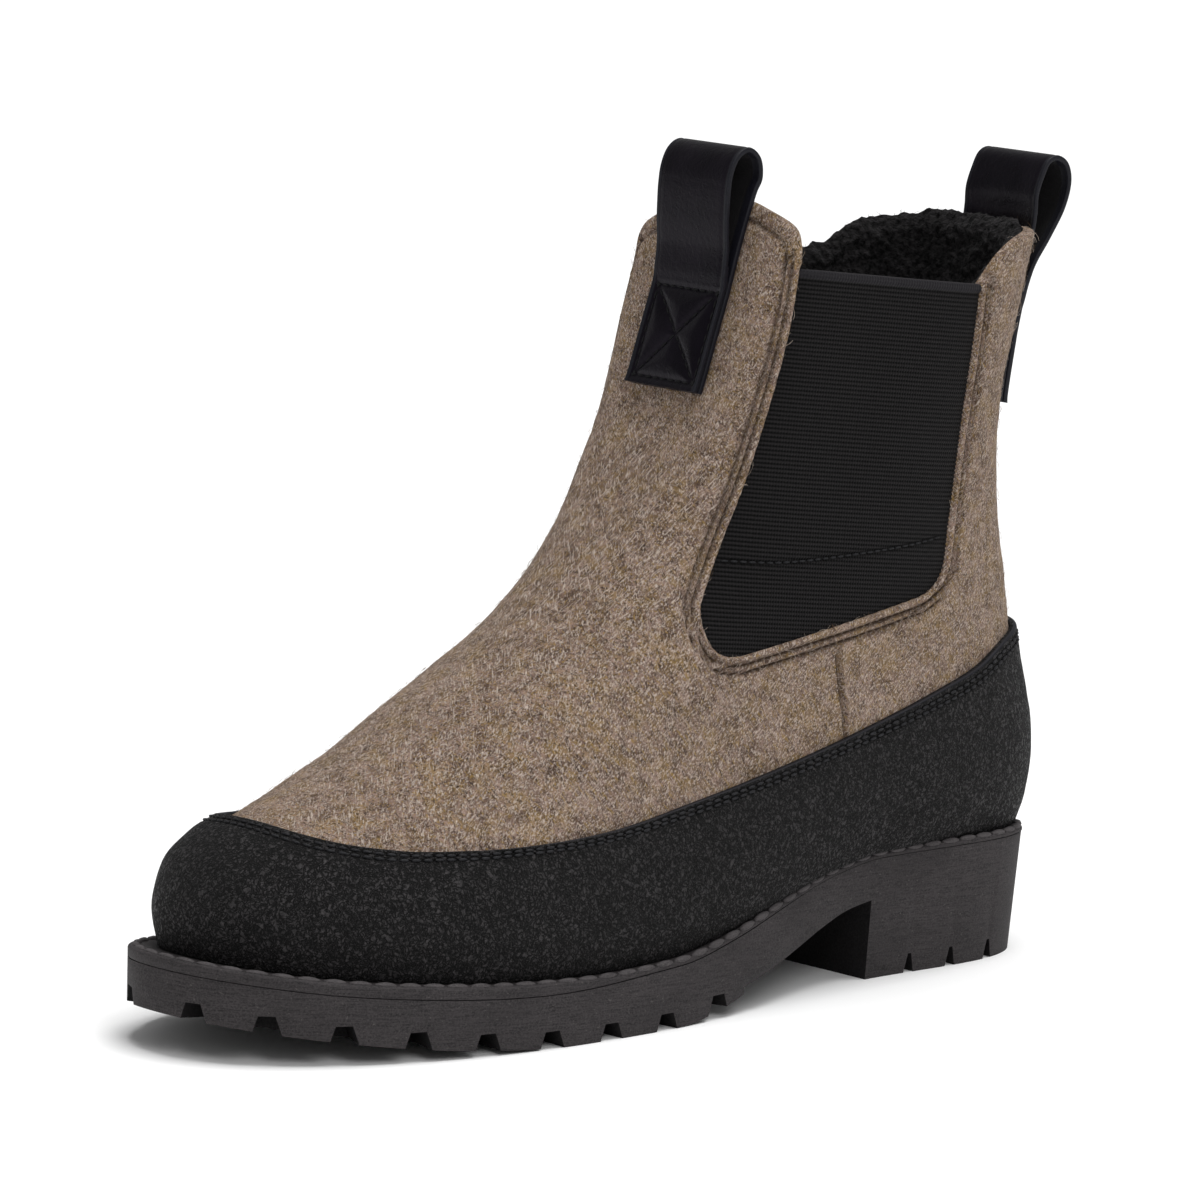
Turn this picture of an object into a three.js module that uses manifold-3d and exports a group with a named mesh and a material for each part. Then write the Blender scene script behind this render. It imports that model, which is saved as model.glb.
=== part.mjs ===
// Left felt ankle boot: felt shaft with elastic gores, leather rand, two pull loops, welt and lugged sole.
// Millimetres. X runs from the heel's rear to the toe, Y to the outer side of the foot, Z up from the floor.
import * as THREE from "three";
import { mergeVertices } from "three/addons/utils/BufferGeometryUtils.js";
import Module from "manifold-3d";

const wasm = await Module();
wasm.setup();

// Driving sizes of the sole
const LENGTH = 270; // outsole, heel to toe
const BALL_WIDTH = 95; // outsole across the ball
const HEEL_STACK = 33.4; // floor to welt top under the heel
const BALL_STACK = 16.2; // floor to welt top under the ball
const TOE_STACK = 25.5; // floor to welt top ahead of the toe
const TOE_SPRING = 10.5; // rise of the tread at the toe
const REAR_SPRING = 5; // rise of the tread at its rear step
const TREAD_STEP = 1.7; // step from the tread up to the arch
const ARCH_HEIGHT = 20.8; // floor to arch at the heel breast
const TOE_SPRING_POWER = 1.65;
const REAR_SPRING_POWER = 2;
const HEEL_DRAFT = 3; // heel is this much smaller all round at the floor
const DRAFT_END_SHARE = 0.4; // share of LENGTH where the draft has run out
const DRAFT_FADE_SHARE = 0.15; // share of LENGTH over which it runs out
const REAR_DRAFT_SHARE = 0.12; // share of LENGTH over which the rear end leans in
const HEEL_HALF_SHARE = 0.33; // share of BALL_WIDTH
const WELT_THICK = 3;
const WELT_BAND = 13; // width of the welt strip in plan
const INSOLE_THICK = 3.5;

// Driving sizes of the tread
const LUG_PITCH = 18.8; // along the edge
const FIRST_NOTCH = 13.1; // from the toe tip, along the edge
const NOTCH_FLOOR_WIDTH = 7.2;
const NOTCH_ROOF_WIDTH = 4.2;
const NOTCH_DEPTH = 4.2;
const NOTCH_REACH = 13; // inwards from the edge
const NOTCH_REAR_SHARE = 0.458; // share of LENGTH behind which no notch is cut
const NOTCH_MARGIN = 4; // run of a notch's cutter past the faces it enters
const EDGE_LUG = 15; // width of the ring of edge lugs
const HOLLOW_TREAD_SHARE = 0.498; // shares of LENGTH: rear of the front hollow,
const HOLLOW_HEEL_REAR_SHARE = 0.07; // rear of the heel's hollow,
const HOLLOW_HEEL_FRONT_SHARE = 0.21; // and its front
const CROSS_ARM = 25;
const CROSS_WIDTH = 7;
const HEEL_NOTCHES = 3; // on each side
const HEEL_NOTCH_WIDTH = 3.4;
const HEEL_NOTCH_ROOF = 1.1;
const HEEL_NOTCH_DEPTH = 5;
const HEEL_NOTCH_PITCH = 14.6;
const HEEL_NOTCH_FIRST = 15.5; // behind the heel breast

// Driving sizes of the upper
const COLLAR_BACK = 188; // top of the rear tab above the floor
const COLLAR_SLOPE = 0.1226; // rise of the collar per millimetre towards the front
const FELT = 3; // wall of the upper
const GORE_RECESS = 1.2; // elastic lies this far below the felt's face
const GORE_THICK = 1.8;
const RAND_THICK = 1.7;

// Driving sizes of the pull loops
const STRAP_WIDTH = 26.7;
const STRAP_THICK = 1.5;
const PATCH_LENGTH = 25;
const FRONT_PATCH_TOP = 176;
const REAR_PATCH_TOP = 167;
const FRONT_LOOP_RISE = 36;
const REAR_LOOP_RISE = 39;
const LOOP_DEPTH = 10;
const SUNK = 1; // how far a strap runs into the felt's face before it is cut to it

const GAP = 0.3; // clearance between neighbouring pieces
const BEYOND = 60; // how far a cutter runs past what it cuts
const END_MARGIN_SHARE = 0.06; // share of LENGTH by which side-view bands pass the boot's ends
const SIDE_STEPS = 22; // facets from back centre to front centre on each side
const SOLE_STEPS = 28; // the same round the sole
const EDGE_POINTS = 200; // points for measuring along the sole's edge
const QUARTER_POINTS = 48; // points of a quarter outline before it is spaced evenly
const BAND_STEPS = 34;
const ARCH_STEPS = 8;
const TREAD_STEPS = 24;
const CURVE_STEPS = 10;
const WELD = 1e-4;

// Heights of the welt's top: shares of the heel's and the toe's extra stack
const LIFT_COLUMNS = ["x", "heel", "toe"];
const LIFT = [
  [-0.04, 0.92, 0],
  [0.13, 1, 0],
  [0.237, 0.99, 0],
  [0.311, 0.85, 0],
  [0.389, 0.57, 0],
  [0.463, 0.28, 0],
  [0.537, 0.06, 0],
  [0.633, 0, 0],
  [0.737, 0, 0.09],
  [0.83, 0, 0.28],
  [0.896, 0, 0.47],
  [0.956, 0, 0.71],
  [1.02, 0, 1],
];

// Underside between heel breast and tread: x as a share of LENGTH, height of ARCH_HEIGHT
const BREAST_SHARE = 0.25;
const TREAD_REAR_SHARE = 0.448;
const FLAT_REAR_SHARE = 0.555;
const FLAT_FRONT_SHARE = 0.66;
const ARCH_COLUMNS = ["x", "height"];
const ARCH = [
  [BREAST_SHARE, 1],
  [0.283, 0.94],
  [0.321, 0.8],
  [0.357, 0.645],
  [0.4, 0.476],
];

// Crosses of the tread: x as a share of LENGTH, size as a share of CROSS_ARM
const CROSS_COLUMNS = ["x", "size"];
const CROSSES = [
  [0.135, 0.7],
  [0.56, 1],
  [0.68, 1],
  [0.8, 1],
];

// Plan outline of the sole: lengths along X are shares of LENGTH, widths are shares of BALL_WIDTH
const SOLE_COLUMNS = [
  "back", "front", "lateral", "medial", "wide", "bluntFront", "bluntBack",
  "waistLateral", "waistMedial", "swing",
];
const SOLE = [[0, 1, 0.515, 0.485, 0.634, 2.25, 2.95, 0.285, 0.27, -0.035]];
const WAIST_LATERAL_SHARE = 0.25;
const WAIST_MEDIAL_SHARE = 0.34;
const WAIST_SPREAD_SHARE = 0.14;

// Sections of the upper from the welt (rise 0) to the collar (rise 1), shares as in the sole's outline
const UPPER_COLUMNS = ["rise", ...SOLE_COLUMNS];
const UPPER = [
  [0, 0.001, 0.96, 0.453, 0.432, 0.622, 2.25, 2.5, 0.19, 0.24, -0.042],
  [0.05, -0.007, 0.965, 0.474, 0.453, 0.619, 2.25, 2.5, 0.15, 0.22, -0.042],
  [0.1, -0.013, 0.955, 0.468, 0.447, 0.611, 2.25, 2.5, 0.11, 0.19, -0.042],
  [0.14, -0.015, 0.925, 0.453, 0.437, 0.6, 2.2, 2.5, 0.08, 0.16, -0.042],
  [0.17, -0.014, 0.88, 0.442, 0.426, 0.585, 2.15, 2.5, 0.07, 0.14, -0.037],
  [0.22, -0.009, 0.811, 0.421, 0.411, 0.563, 2.1, 2.5, 0.05, 0.11, -0.032],
  [0.3, 0.003, 0.72, 0.395, 0.389, 0.519, 2.05, 2.5, 0.03, 0.06, -0.021],
  [0.4, 0.0115, 0.604, 0.374, 0.368, 0.426, 2.05, 2.4, 0.01, 0.02, -0.011],
  [0.52, 0.027, 0.512, 0.353, 0.353, 0.333, 2.6, 2.35, 0, 0, 0],
  [0.66, 0.036, 0.434, 0.347, 0.347, 0.278, 4.9, 2.45, 0, 0, 0],
  [0.82, 0.026, 0.394, 0.353, 0.353, 0.244, 6.5, 2.65, 0, 0, 0],
  [1, 0.007, 0.357, 0.358, 0.358, 0.23, 7.2, 2.9, 0, 0, 0],
];
const RISES = [0, 0.03, 0.06, 0.09, 0.12, 0.14, 0.16, 0.19, 0.22, 0.26, 0.32, 0.4, 0.5, 0.6, 0.72, 0.86, 1];

// Gore opening in side view: x as a share of LENGTH, height as a share of COLLAR_BACK
const GORE_REAR_TOP = [0.131, 0.936];
const GORE_REAR_BEND = [0.14, 0.72];
const GORE_REAR_FOOT = [0.156, 0.572];
const GORE_REAR_CORNER = [0.161, 0.526];
const GORE_BASE_REAR = [0.2, 0.517];
const GORE_BASE_FRONT = [0.426, 0.473];
const GORE_FRONT_CORNER = [0.483, 0.462];
const GORE_FRONT_FOOT = [0.472, 0.541];
const GORE_FRONT_BEND = [0.387, 0.753];
const GORE_FRONT_TOP = [0.36, 0.978];
const FRONT_TAB_LEAN = [0.3, 1.25];
const REAR_TAB_CORNER = [0.098, 0.978];
const REAR_TAB_TOP = [0.06, 0.994];
const REAR_TAB_FRONT_SHARE = 0.15;

// Sides of the front tab seen from the front: y as a share of BALL_WIDTH, heights as shares of COLLAR_BACK
const FRONT_TAB_COLUMNS = ["y", "lateral", "medial"];
const FRONT_TAB = [
  [0.33, 0.978, 0.978],
  [0.318, 1.012, 0.995],
  [0.275, 1.036, 1.015],
  [0.15, 1.054, 1.044],
  [0.08, 1.065, 1.065],
];
const FRONT_TAB_REAR_SHARE = 0.25;

// Top edge of the rand in side view: x as a share of LENGTH, height as a share of COLLAR_BACK
const RAND_COLUMNS = ["x", "height"];
const RAND_LINE = [
  [-0.05, 0.466],
  [0.0, 0.453],
  [0.057, 0.438],
  [0.117, 0.409],
  [0.176, 0.389],
  [0.283, 0.354],
  [0.394, 0.321],
  [0.5, 0.293],
  [0.605, 0.269],
  [0.685, 0.26],
  [0.746, 0.257],
  [0.8, 0.258],
  [0.85, 0.265],
  [0.884, 0.277],
  [0.9, 0.31],
  [0.92, 0.4],
];

// Pull loops in side view from the patch's top: up as a share of the loop's rise, off the felt by a number
// of strap layers and a share of LOOP_DEPTH
const LOOP_COLUMNS = ["up", "layer", "out"];
const FRONT_LOOP = [
  [0, 1.5, 0],
  [0.07, 1.5, 0.015],
  [0.25, 1.5, 0.185],
  [0.49, 1.5, 0.505],
  [0.72, 1.5, 0.725],
  [0.9, 1.4, 0.68],
  [0.99, 1, 0.42],
  [0.955, 0.6, 0.08],
  [0.84, 0.5, -0.085],
  [0.72, 0.5, -0.005],
  [0.5, 0.5, 0.02],
  [0.25, 0.5, 0.01],
  [0, 0.5, 0],
];
const REAR_LOOP = [
  [0, 1.5, 0],
  [0.14, 1.5, 0.02],
  [0.31, 1.5, 0.175],
  [0.48, 1.5, 0.465],
  [0.67, 1.5, 0.705],
  [0.84, 1.5, 0.685],
  [0.955, 1.3, 0.455],
  [0.99, 1, 0.12],
  [0.95, 0.7, -0.115],
  [0.85, 0.5, -0.175],
  [0.73, 0.5, -0.185],
  [0.6, 0.5, -0.045],
  [0.45, 0.5, 0.01],
  [0, 0.5, 0],
];
const PARTING_SHARE = 0.2; // share of the rise where the two strands have parted
const LOOP_STEPS = 26;
const PATCH_STEPS = 4;
const ACROSS_STEPS = 4;

// Colours
const FELT_COLOUR = 0x6b5c4d;
const BLACK_ELASTIC = 0x17171a;
const BLACK_LEATHER = 0x1b1a1f;
const BLACK_RAND = 0x151517;
const CHARCOAL_RUBBER = 0x2b2c2e;
const BOARD_COLOUR = 0x222224;

// Tables and curves

function records(columns, rows) {
  return rows.map((row) => Object.fromEntries(columns.map((name, i) => [name, row[i]])));
}

// Smooth curve through the points that never overshoots them.
function monotone(xs, ys) {
  const steps = xs.slice(1).map((x, i) => x - xs[i]);
  const slopes = steps.map((h, i) => (ys[i + 1] - ys[i]) / h);
  const tangents = xs.map((_, i) => {
    if (i === 0) return slopes[0];
    if (i === xs.length - 1) return slopes[i - 1];
    const [a, b] = [slopes[i - 1], slopes[i]];
    return a * b <= 0 ? 0 : (2 * a * b) / (a + b);
  });
  return (x) => {
    if (x <= xs[0]) return ys[0];
    if (x >= xs[xs.length - 1]) return ys[ys.length - 1];
    const i = xs.findIndex((value) => value > x) - 1;
    const t = (x - xs[i]) / steps[i];
    const start = ys[i] + (ys[i + 1] - ys[i]) * t * t * (3 - 2 * t);
    return start + steps[i] * t * (1 - t) * (tangents[i] * (1 - t) - tangents[i + 1] * t);
  };
}

function column(rows, key, name) {
  return monotone(rows.map((row) => row[key]), rows.map((row) => row[name]));
}

const liftRows = records(LIFT_COLUMNS, LIFT);
const heelLift = column(liftRows, "x", "heel");
const toeLift = column(liftRows, "x", "toe");

function weltTop(x) {
  const share = x / LENGTH;
  const heel = heelLift(share) * (HEEL_STACK - BALL_STACK);
  const toe = toeLift(share) * (TOE_STACK - BALL_STACK);
  return BALL_STACK + heel + toe;
}

function collarTop(x) {
  return COLLAR_BACK + COLLAR_SLOPE * x;
}

const archLine = column(records(ARCH_COLUMNS, ARCH), "x", "height");

// Height of the tread above the floor ahead of the arch.
function treadHeight(x) {
  const share = x / LENGTH;
  if (share > FLAT_FRONT_SHARE) {
    return TOE_SPRING * ((share - FLAT_FRONT_SHARE) / (1 - FLAT_FRONT_SHARE)) ** TOE_SPRING_POWER;
  }
  if (share < FLAT_REAR_SHARE) {
    const back = (FLAT_REAR_SHARE - share) / (FLAT_REAR_SHARE - TREAD_REAR_SHARE);
    return REAR_SPRING * back ** REAR_SPRING_POWER;
  }
  return 0;
}

const randRows = column(records(RAND_COLUMNS, RAND_LINE), "x", "height");

function randTop(x) {
  return COLLAR_BACK * randRows(x / LENGTH);
}

// Plan outlines

// Same count of points at even spacing along a path.
function resample(path, count) {
  const along = [0];
  path.slice(1).forEach((p, i) => along.push(along[i] + Math.hypot(p[0] - path[i][0], p[1] - path[i][1])));
  const total = along[along.length - 1];
  return Array.from({ length: count + 1 }, (_, k) => {
    const target = (total * k) / count;
    const i = Math.max(along.findIndex((value) => value >= target - 1e-6), 1);
    const t = (target - along[i - 1]) / (along[i] - along[i - 1]);
    return [0, 1].map((axis) => path[i - 1][axis] * (1 - t) + path[i][axis] * t);
  });
}

// One side of an egg outline from the back centre to the front centre; side is 1 lateral, -1 medial.
function eggSide(row, side, count) {
  const [back, front, wide] = [row.back * LENGTH, row.front * LENGTH, row.wide * LENGTH];
  const half = BALL_WIDTH * (side > 0 ? row.lateral : row.medial);
  const waist = side > 0 ? row.waistLateral : row.waistMedial;
  const waistAt = LENGTH * (side > 0 ? WAIST_LATERAL_SHARE : WAIST_MEDIAL_SHARE);
  const path = [];
  for (let i = 0; i <= 2 * QUARTER_POINTS; i++) {
    const ahead = i > QUARTER_POINTS;
    const angle = (Math.PI / 2) * Math.abs(1 - i / QUARTER_POINTS);
    const power = 2 / (ahead ? row.bluntFront : row.bluntBack);
    const reach = ahead ? front - wide : back - wide;
    const x = wide + reach * Math.sin(angle) ** power;
    const dent = waist * Math.exp(-(((x - waistAt) / (WAIST_SPREAD_SHARE * LENGTH)) ** 2) / 2);
    const atEnd = i === 0 || i === 2 * QUARTER_POINTS;
    const y = atEnd ? 0 : half * Math.cos(angle) ** power * (1 - dent);
    const swing = ahead ? row.swing * BALL_WIDTH * ((x - wide) / (front - wide)) ** 2 : 0;
    path.push([x, side * y + swing]);
  }
  return resample(path, count);
}

// Closed outline: lateral side forwards, medial side back.
function eggOutline(row, count) {
  const lateral = eggSide(row, 1, count);
  const medial = eggSide(row, -1, count);
  return [...lateral, ...medial.slice(1, -1).reverse()];
}

const upperRows = records(UPPER_COLUMNS, UPPER);
const upperCurves = Object.fromEntries(SOLE_COLUMNS.map((name) => [name, column(upperRows, "rise", name)]));

// One ring of points on the felt's outer face.
function upperRing(rise) {
  const row = Object.fromEntries(SOLE_COLUMNS.map((name) => [name, upperCurves[name](rise)]));
  return eggOutline(row, SIDE_STEPS).map(([x, y]) => {
    const z = weltTop(x) * (1 - rise) + collarTop(x) * rise;
    return new THREE.Vector3(x, y, z);
  });
}

const upperGrid = RISES.map(upperRing);

// Outward normals of the grid of rings.
const upperNormals = upperGrid.map((ring, i) =>
  ring.map((_, j) => {
    const around = ring.length;
    const along = ring[(j + 1) % around].clone().sub(ring[(j + around - 1) % around]);
    const above = upperGrid[Math.min(i + 1, upperGrid.length - 1)][j];
    const below = upperGrid[Math.max(i - 1, 0)][j];
    return above.clone().sub(below).cross(along).normalize();
  }),
);

// Solids

function solidOf(vertices, triangles) {
  const vertProperties = new Float32Array(vertices.flatMap((v) => [v.x, v.y, v.z]));
  const build = (list) => new wasm.Manifold(
    new wasm.Mesh({ numProp: 3, vertProperties, triVerts: new Uint32Array(list.flat()) }),
  );
  const made = build(triangles);
  return made.volume() > 0 ? made : build(triangles.map(([a, b, c]) => [a, c, b]));
}

// Closed body through rings of equal count, each symmetric from back centre to front centre.
function ringBody(rings) {
  const around = rings[0].length;
  const side = around / 2;
  const triangles = [];
  for (let i = 0; i + 1 < rings.length; i++) {
    for (let j = 0; j < around; j++) {
      const [a, b] = [i * around + j, i * around + ((j + 1) % around)];
      triangles.push([a, b, b + around], [a, b + around, a + around]);
    }
  }
  for (const [start, flip] of [[0, true], [(rings.length - 1) * around, false]]) {
    for (let j = 0; j < side; j++) {
      const [a, b] = [start + j, start + j + 1];
      const [c, d] = [start + ((around - j) % around), start + around - j - 1];
      const faces = [];
      if (j > 0) faces.push([a, c, b]);
      if (j < side - 1 || j === 0) faces.push([b, c, d]);
      triangles.push(...faces.map(([p, q, r]) => (flip ? [p, q, r] : [p, r, q])));
    }
  }
  return solidOf(rings.flat(), triangles);
}

// The upper's form moved along its normals, run on past both ends.
function upperForm(offset, past) {
  const rings = upperGrid.map((ring, i) =>
    ring.map((point, j) => point.clone().addScaledVector(upperNormals[i][j], offset)),
  );
  if (past > 0) {
    rings.unshift(rings[0].map((p) => new THREE.Vector3(p.x, p.y, p.z - past)));
    rings.push(rings[rings.length - 1].map((p) => new THREE.Vector3(p.x, p.y, p.z + past)));
  }
  return ringBody(rings);
}

function manifoldOf(geometry) {
  geometry.deleteAttribute("normal");
  geometry.deleteAttribute("uv");
  const merged = mergeVertices(geometry, WELD);
  const position = merged.attributes.position;
  const vertices = Array.from({ length: position.count }, (_, i) => {
    return new THREE.Vector3().fromBufferAttribute(position, i);
  });
  const index = Array.from(merged.index.array);
  const triangles = Array.from({ length: index.length / 3 }, (_, i) => index.slice(3 * i, 3 * i + 3));
  return solidOf(vertices, triangles);
}

// Extrudes a shape between low and high along the third of three axes.
function prism(shape, low, high, [u, v, w]) {
  const options = { depth: high - low, bevelEnabled: false, curveSegments: CURVE_STEPS };
  const geometry = new THREE.ExtrudeGeometry(shape, options);
  geometry.translate(0, 0, low);
  geometry.applyMatrix4(new THREE.Matrix4().makeBasis(u, v, w));
  return manifoldOf(geometry);
}

const X = new THREE.Vector3(1, 0, 0);
const Y = new THREE.Vector3(0, 1, 0);
const Z = new THREE.Vector3(0, 0, 1);

function shapeOf(points) {
  return new THREE.Shape(points.map(([a, b]) => new THREE.Vector2(a, b)));
}

// Side-view shape cut through the whole width.
function sidePrism(shape, low = -BEYOND, high = BEYOND) {
  return prism(shape, low, high, [X, Z, Y]);
}

// Side-view band between two height functions.
function sideBand(lower, upper, from = -END_MARGIN_SHARE * LENGTH, to = (1 + END_MARGIN_SHARE) * LENGTH) {
  const steps = BAND_STEPS;
  const xs = Array.from({ length: steps + 1 }, (_, i) => from + ((to - from) * i) / steps);
  const low = xs.map((x) => [x, lower(x)]);
  const high = xs.map((x) => [x, upper(x)]).reverse();
  return sidePrism(shapeOf([...low, ...high]));
}

function meshOf(solid) {
  const { vertProperties, triVerts } = solid.getMesh();
  const geometry = new THREE.BufferGeometry();
  geometry.setAttribute("position", new THREE.BufferAttribute(vertProperties, 3));
  geometry.setIndex(new THREE.BufferAttribute(triVerts, 1));
  geometry.computeVertexNormals();
  return geometry;
}

// Sole

const soleRow = records(SOLE_COLUMNS, SOLE)[0];

function soleOutline(count) {
  return eggOutline(soleRow, count);
}

// Outline moved inwards, for the welt's inner edge and the ring of lugs.
function insetOutline(inset, count) {
  const outline = soleOutline(count);
  return outline.map(([x, y], i) => {
    const [ax, ay] = outline[(i + outline.length - 1) % outline.length];
    const [bx, by] = outline[(i + 1) % outline.length];
    const length = Math.hypot(bx - ax, by - ay);
    return [x + (inset * (by - ay)) / length, y - (inset * (bx - ax)) / length];
  });
}

function planPrism(outline, low, high) {
  return prism(shapeOf(outline), low, high, [X, Y, Z]);
}

// Sides of the sole: upright ahead, drawn in towards the floor round the heel.
function soleSides() {
  const outline = soleOutline(SOLE_STEPS);
  const fade = (x) => THREE.MathUtils.clamp((DRAFT_END_SHARE - x / LENGTH) / DRAFT_FADE_SHARE, 0, 1);
  const level = (z, draft) => outline.map(([x, y]) => {
    const inward = draft * fade(x);
    const run = THREE.MathUtils.clamp(1 - x / (REAR_DRAFT_SHARE * LENGTH), 0, 1);
    const centre = 1 - inward / (HEEL_HALF_SHARE * BALL_WIDTH);
    return new THREE.Vector3(x + inward * run, y * centre, z);
  });
  return ringBody([level(0, HEEL_DRAFT), level(HEEL_STACK, 0), level(2 * HEEL_STACK, 0)]);
}

// Side-view outline of the underside, from the heel's rear to the toe.
function undersideLine() {
  const heel = [[-BEYOND, 0], [BREAST_SHARE * LENGTH, 0]];
  const arch = Array.from({ length: ARCH_STEPS + 1 }, (_, i) => {
    const share = BREAST_SHARE + ((TREAD_REAR_SHARE - BREAST_SHARE) * i) / ARCH_STEPS;
    return [share * LENGTH, archHeight(share)];
  });
  const tread = Array.from({ length: TREAD_STEPS + 1 }, (_, i) => {
    const x = LENGTH * (TREAD_REAR_SHARE + ((1 + END_MARGIN_SHARE - TREAD_REAR_SHARE) * i) / TREAD_STEPS);
    return [x, treadHeight(x)];
  });
  return [...heel, ...arch, ...tread];
}

function archHeight(share) {
  const foot = REAR_SPRING + TREAD_STEP;
  const last = ARCH[ARCH.length - 1];
  if (share <= last[0]) return ARCH_HEIGHT * archLine(share);
  const t = (share - last[0]) / (TREAD_REAR_SHARE - last[0]);
  return THREE.MathUtils.lerp(ARCH_HEIGHT * last[1], foot, t);
}

// Trapezoid notch cut inwards from the sole's edge.
function notchCutter(at, along, floorWidth, roofWidth, roof, reach) {
  const inward = new THREE.Vector3(-along.y, along.x, 0);
  const flare = ((floorWidth - roofWidth) / 2) * (1 + NOTCH_MARGIN / roof);
  const shape = shapeOf([
    [-roofWidth / 2 - flare, -NOTCH_MARGIN],
    [roofWidth / 2 + flare, -NOTCH_MARGIN],
    [roofWidth / 2, roof],
    [-roofWidth / 2, roof],
  ]);
  const cutter = prism(shape, -NOTCH_MARGIN, reach, [along, Z, inward]);
  return cutter.translate([at.x, at.y, at.z]);
}

// Point and direction on one side of the sole's edge, at a distance from the toe tip.
function edgePoint(side, distance) {
  const path = eggSide(soleRow, side, EDGE_POINTS).reverse();
  let run = 0;
  for (let i = 1; i < path.length; i++) {
    const step = Math.hypot(path[i][0] - path[i - 1][0], path[i][1] - path[i - 1][1]);
    if (run + step >= distance) {
      const dx = (path[i][0] - path[i - 1][0]) / step;
      const dy = (path[i][1] - path[i - 1][1]) / step;
      return { x: path[i][0], y: path[i][1], along: new THREE.Vector3(dx * side, dy * side, 0) };
    }
    run += step;
  }
  throw new Error("the edge is shorter than the distance asked for");
}

function forefootNotches() {
  const cutters = [];
  for (const side of [1, -1]) {
    for (let distance = FIRST_NOTCH; ; distance += LUG_PITCH) {
      const { x, y, along } = edgePoint(side, distance);
      if (x < NOTCH_REAR_SHARE * LENGTH + NOTCH_FLOOR_WIDTH / 2) break;
      const at = { x, y, z: treadHeight(x) };
      cutters.push(notchCutter(at, along, NOTCH_FLOOR_WIDTH, NOTCH_ROOF_WIDTH, NOTCH_DEPTH, NOTCH_REACH));
    }
  }
  return cutters;
}

function heelNotches() {
  const cutters = [];
  for (let k = 0; k < HEEL_NOTCHES; k++) {
    const x = BREAST_SHARE * LENGTH - HEEL_NOTCH_FIRST - HEEL_NOTCH_PITCH * k;
    for (const side of [1, -1]) {
      const at = { x, y: side * BALL_WIDTH * HEEL_HALF_SHARE, z: 0 };
      const along = X.clone().multiplyScalar(-side);
      cutters.push(notchCutter(at, along, HEEL_NOTCH_WIDTH, HEEL_NOTCH_ROOF, HEEL_NOTCH_DEPTH, NOTCH_REACH));
    }
  }
  return cutters;
}

// Cross-shaped lug of the tread's middle.
function crossLug(x, size) {
  const half = size / 2;
  const wide = CROSS_WIDTH / 2;
  const bar = [[-half, -wide], [half, -wide], [half, wide], [-half, wide]];
  const arms = [Math.PI / 4, -Math.PI / 4].map((angle) => {
    const turned = bar.map(([a, b]) => [
      x + a * Math.cos(angle) - b * Math.sin(angle),
      a * Math.sin(angle) + b * Math.cos(angle),
    ]);
    return planPrism(turned, -BEYOND, BEYOND);
  });
  return arms[0].add(arms[1]);
}

// Hollow between the edge lugs, less the crosses that stand in it.
function treadHollow() {
  const inner = planPrism(insetOutline(EDGE_LUG, SOLE_STEPS / 2), -BEYOND, BEYOND);
  const front = sideBand(
    (x) => treadHeight(x) - BEYOND,
    (x) => treadHeight(x) + NOTCH_DEPTH,
    HOLLOW_TREAD_SHARE * LENGTH,
    LENGTH,
  );
  const [rearX, frontX] = [HOLLOW_HEEL_REAR_SHARE * LENGTH, HOLLOW_HEEL_FRONT_SHARE * LENGTH];
  const corners = [[rearX, -BEYOND], [frontX, -BEYOND], [frontX, NOTCH_DEPTH], [rearX, NOTCH_DEPTH]];
  let hollow = inner.intersect(front.add(sidePrism(shapeOf(corners))));
  for (const { x, size } of records(CROSS_COLUMNS, CROSSES)) {
    hollow = hollow.subtract(crossLug(x * LENGTH, size * CROSS_ARM));
  }
  return hollow;
}

function makeOutsole() {
  const edgeTop = (x) => weltTop(x) - 2 * GAP - WELT_THICK;
  const coreTop = (x) => weltTop(x) - GAP;
  const line = undersideLine();
  const low = [...line, [LENGTH + BEYOND, TOE_SPRING], [LENGTH + BEYOND, BEYOND], [-BEYOND, BEYOND]];
  const body = soleSides().intersect(sidePrism(shapeOf(low)));
  const edge = body.intersect(sideBand(() => -BEYOND, edgeTop));
  const core = planPrism(insetOutline(WELT_BAND + GAP, SOLE_STEPS), -BEYOND, BEYOND);
  const middle = body.intersect(core).intersect(sideBand(() => -BEYOND, coreTop));
  let sole = edge.add(middle);
  for (const cutter of [...forefootNotches(), ...heelNotches(), treadHollow()]) {
    sole = sole.subtract(cutter);
  }
  return sole;
}

function makeWelt() {
  const plate = planPrism(soleOutline(SOLE_STEPS), -BEYOND, BEYOND);
  const middle = planPrism(insetOutline(WELT_BAND, SOLE_STEPS), -BEYOND, BEYOND);
  const band = sideBand((x) => weltTop(x) - GAP - WELT_THICK, (x) => weltTop(x) - GAP);
  return plate.subtract(middle).intersect(band);
}

function makeInsole() {
  const inside = upperForm(-FELT - GAP, 2 * INSOLE_THICK);
  return inside.intersect(sideBand(weltTop, (x) => weltTop(x) + INSOLE_THICK));
}

// Upper

function at([x, height]) {
  return [x * LENGTH, height * COLLAR_BACK];
}

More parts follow.
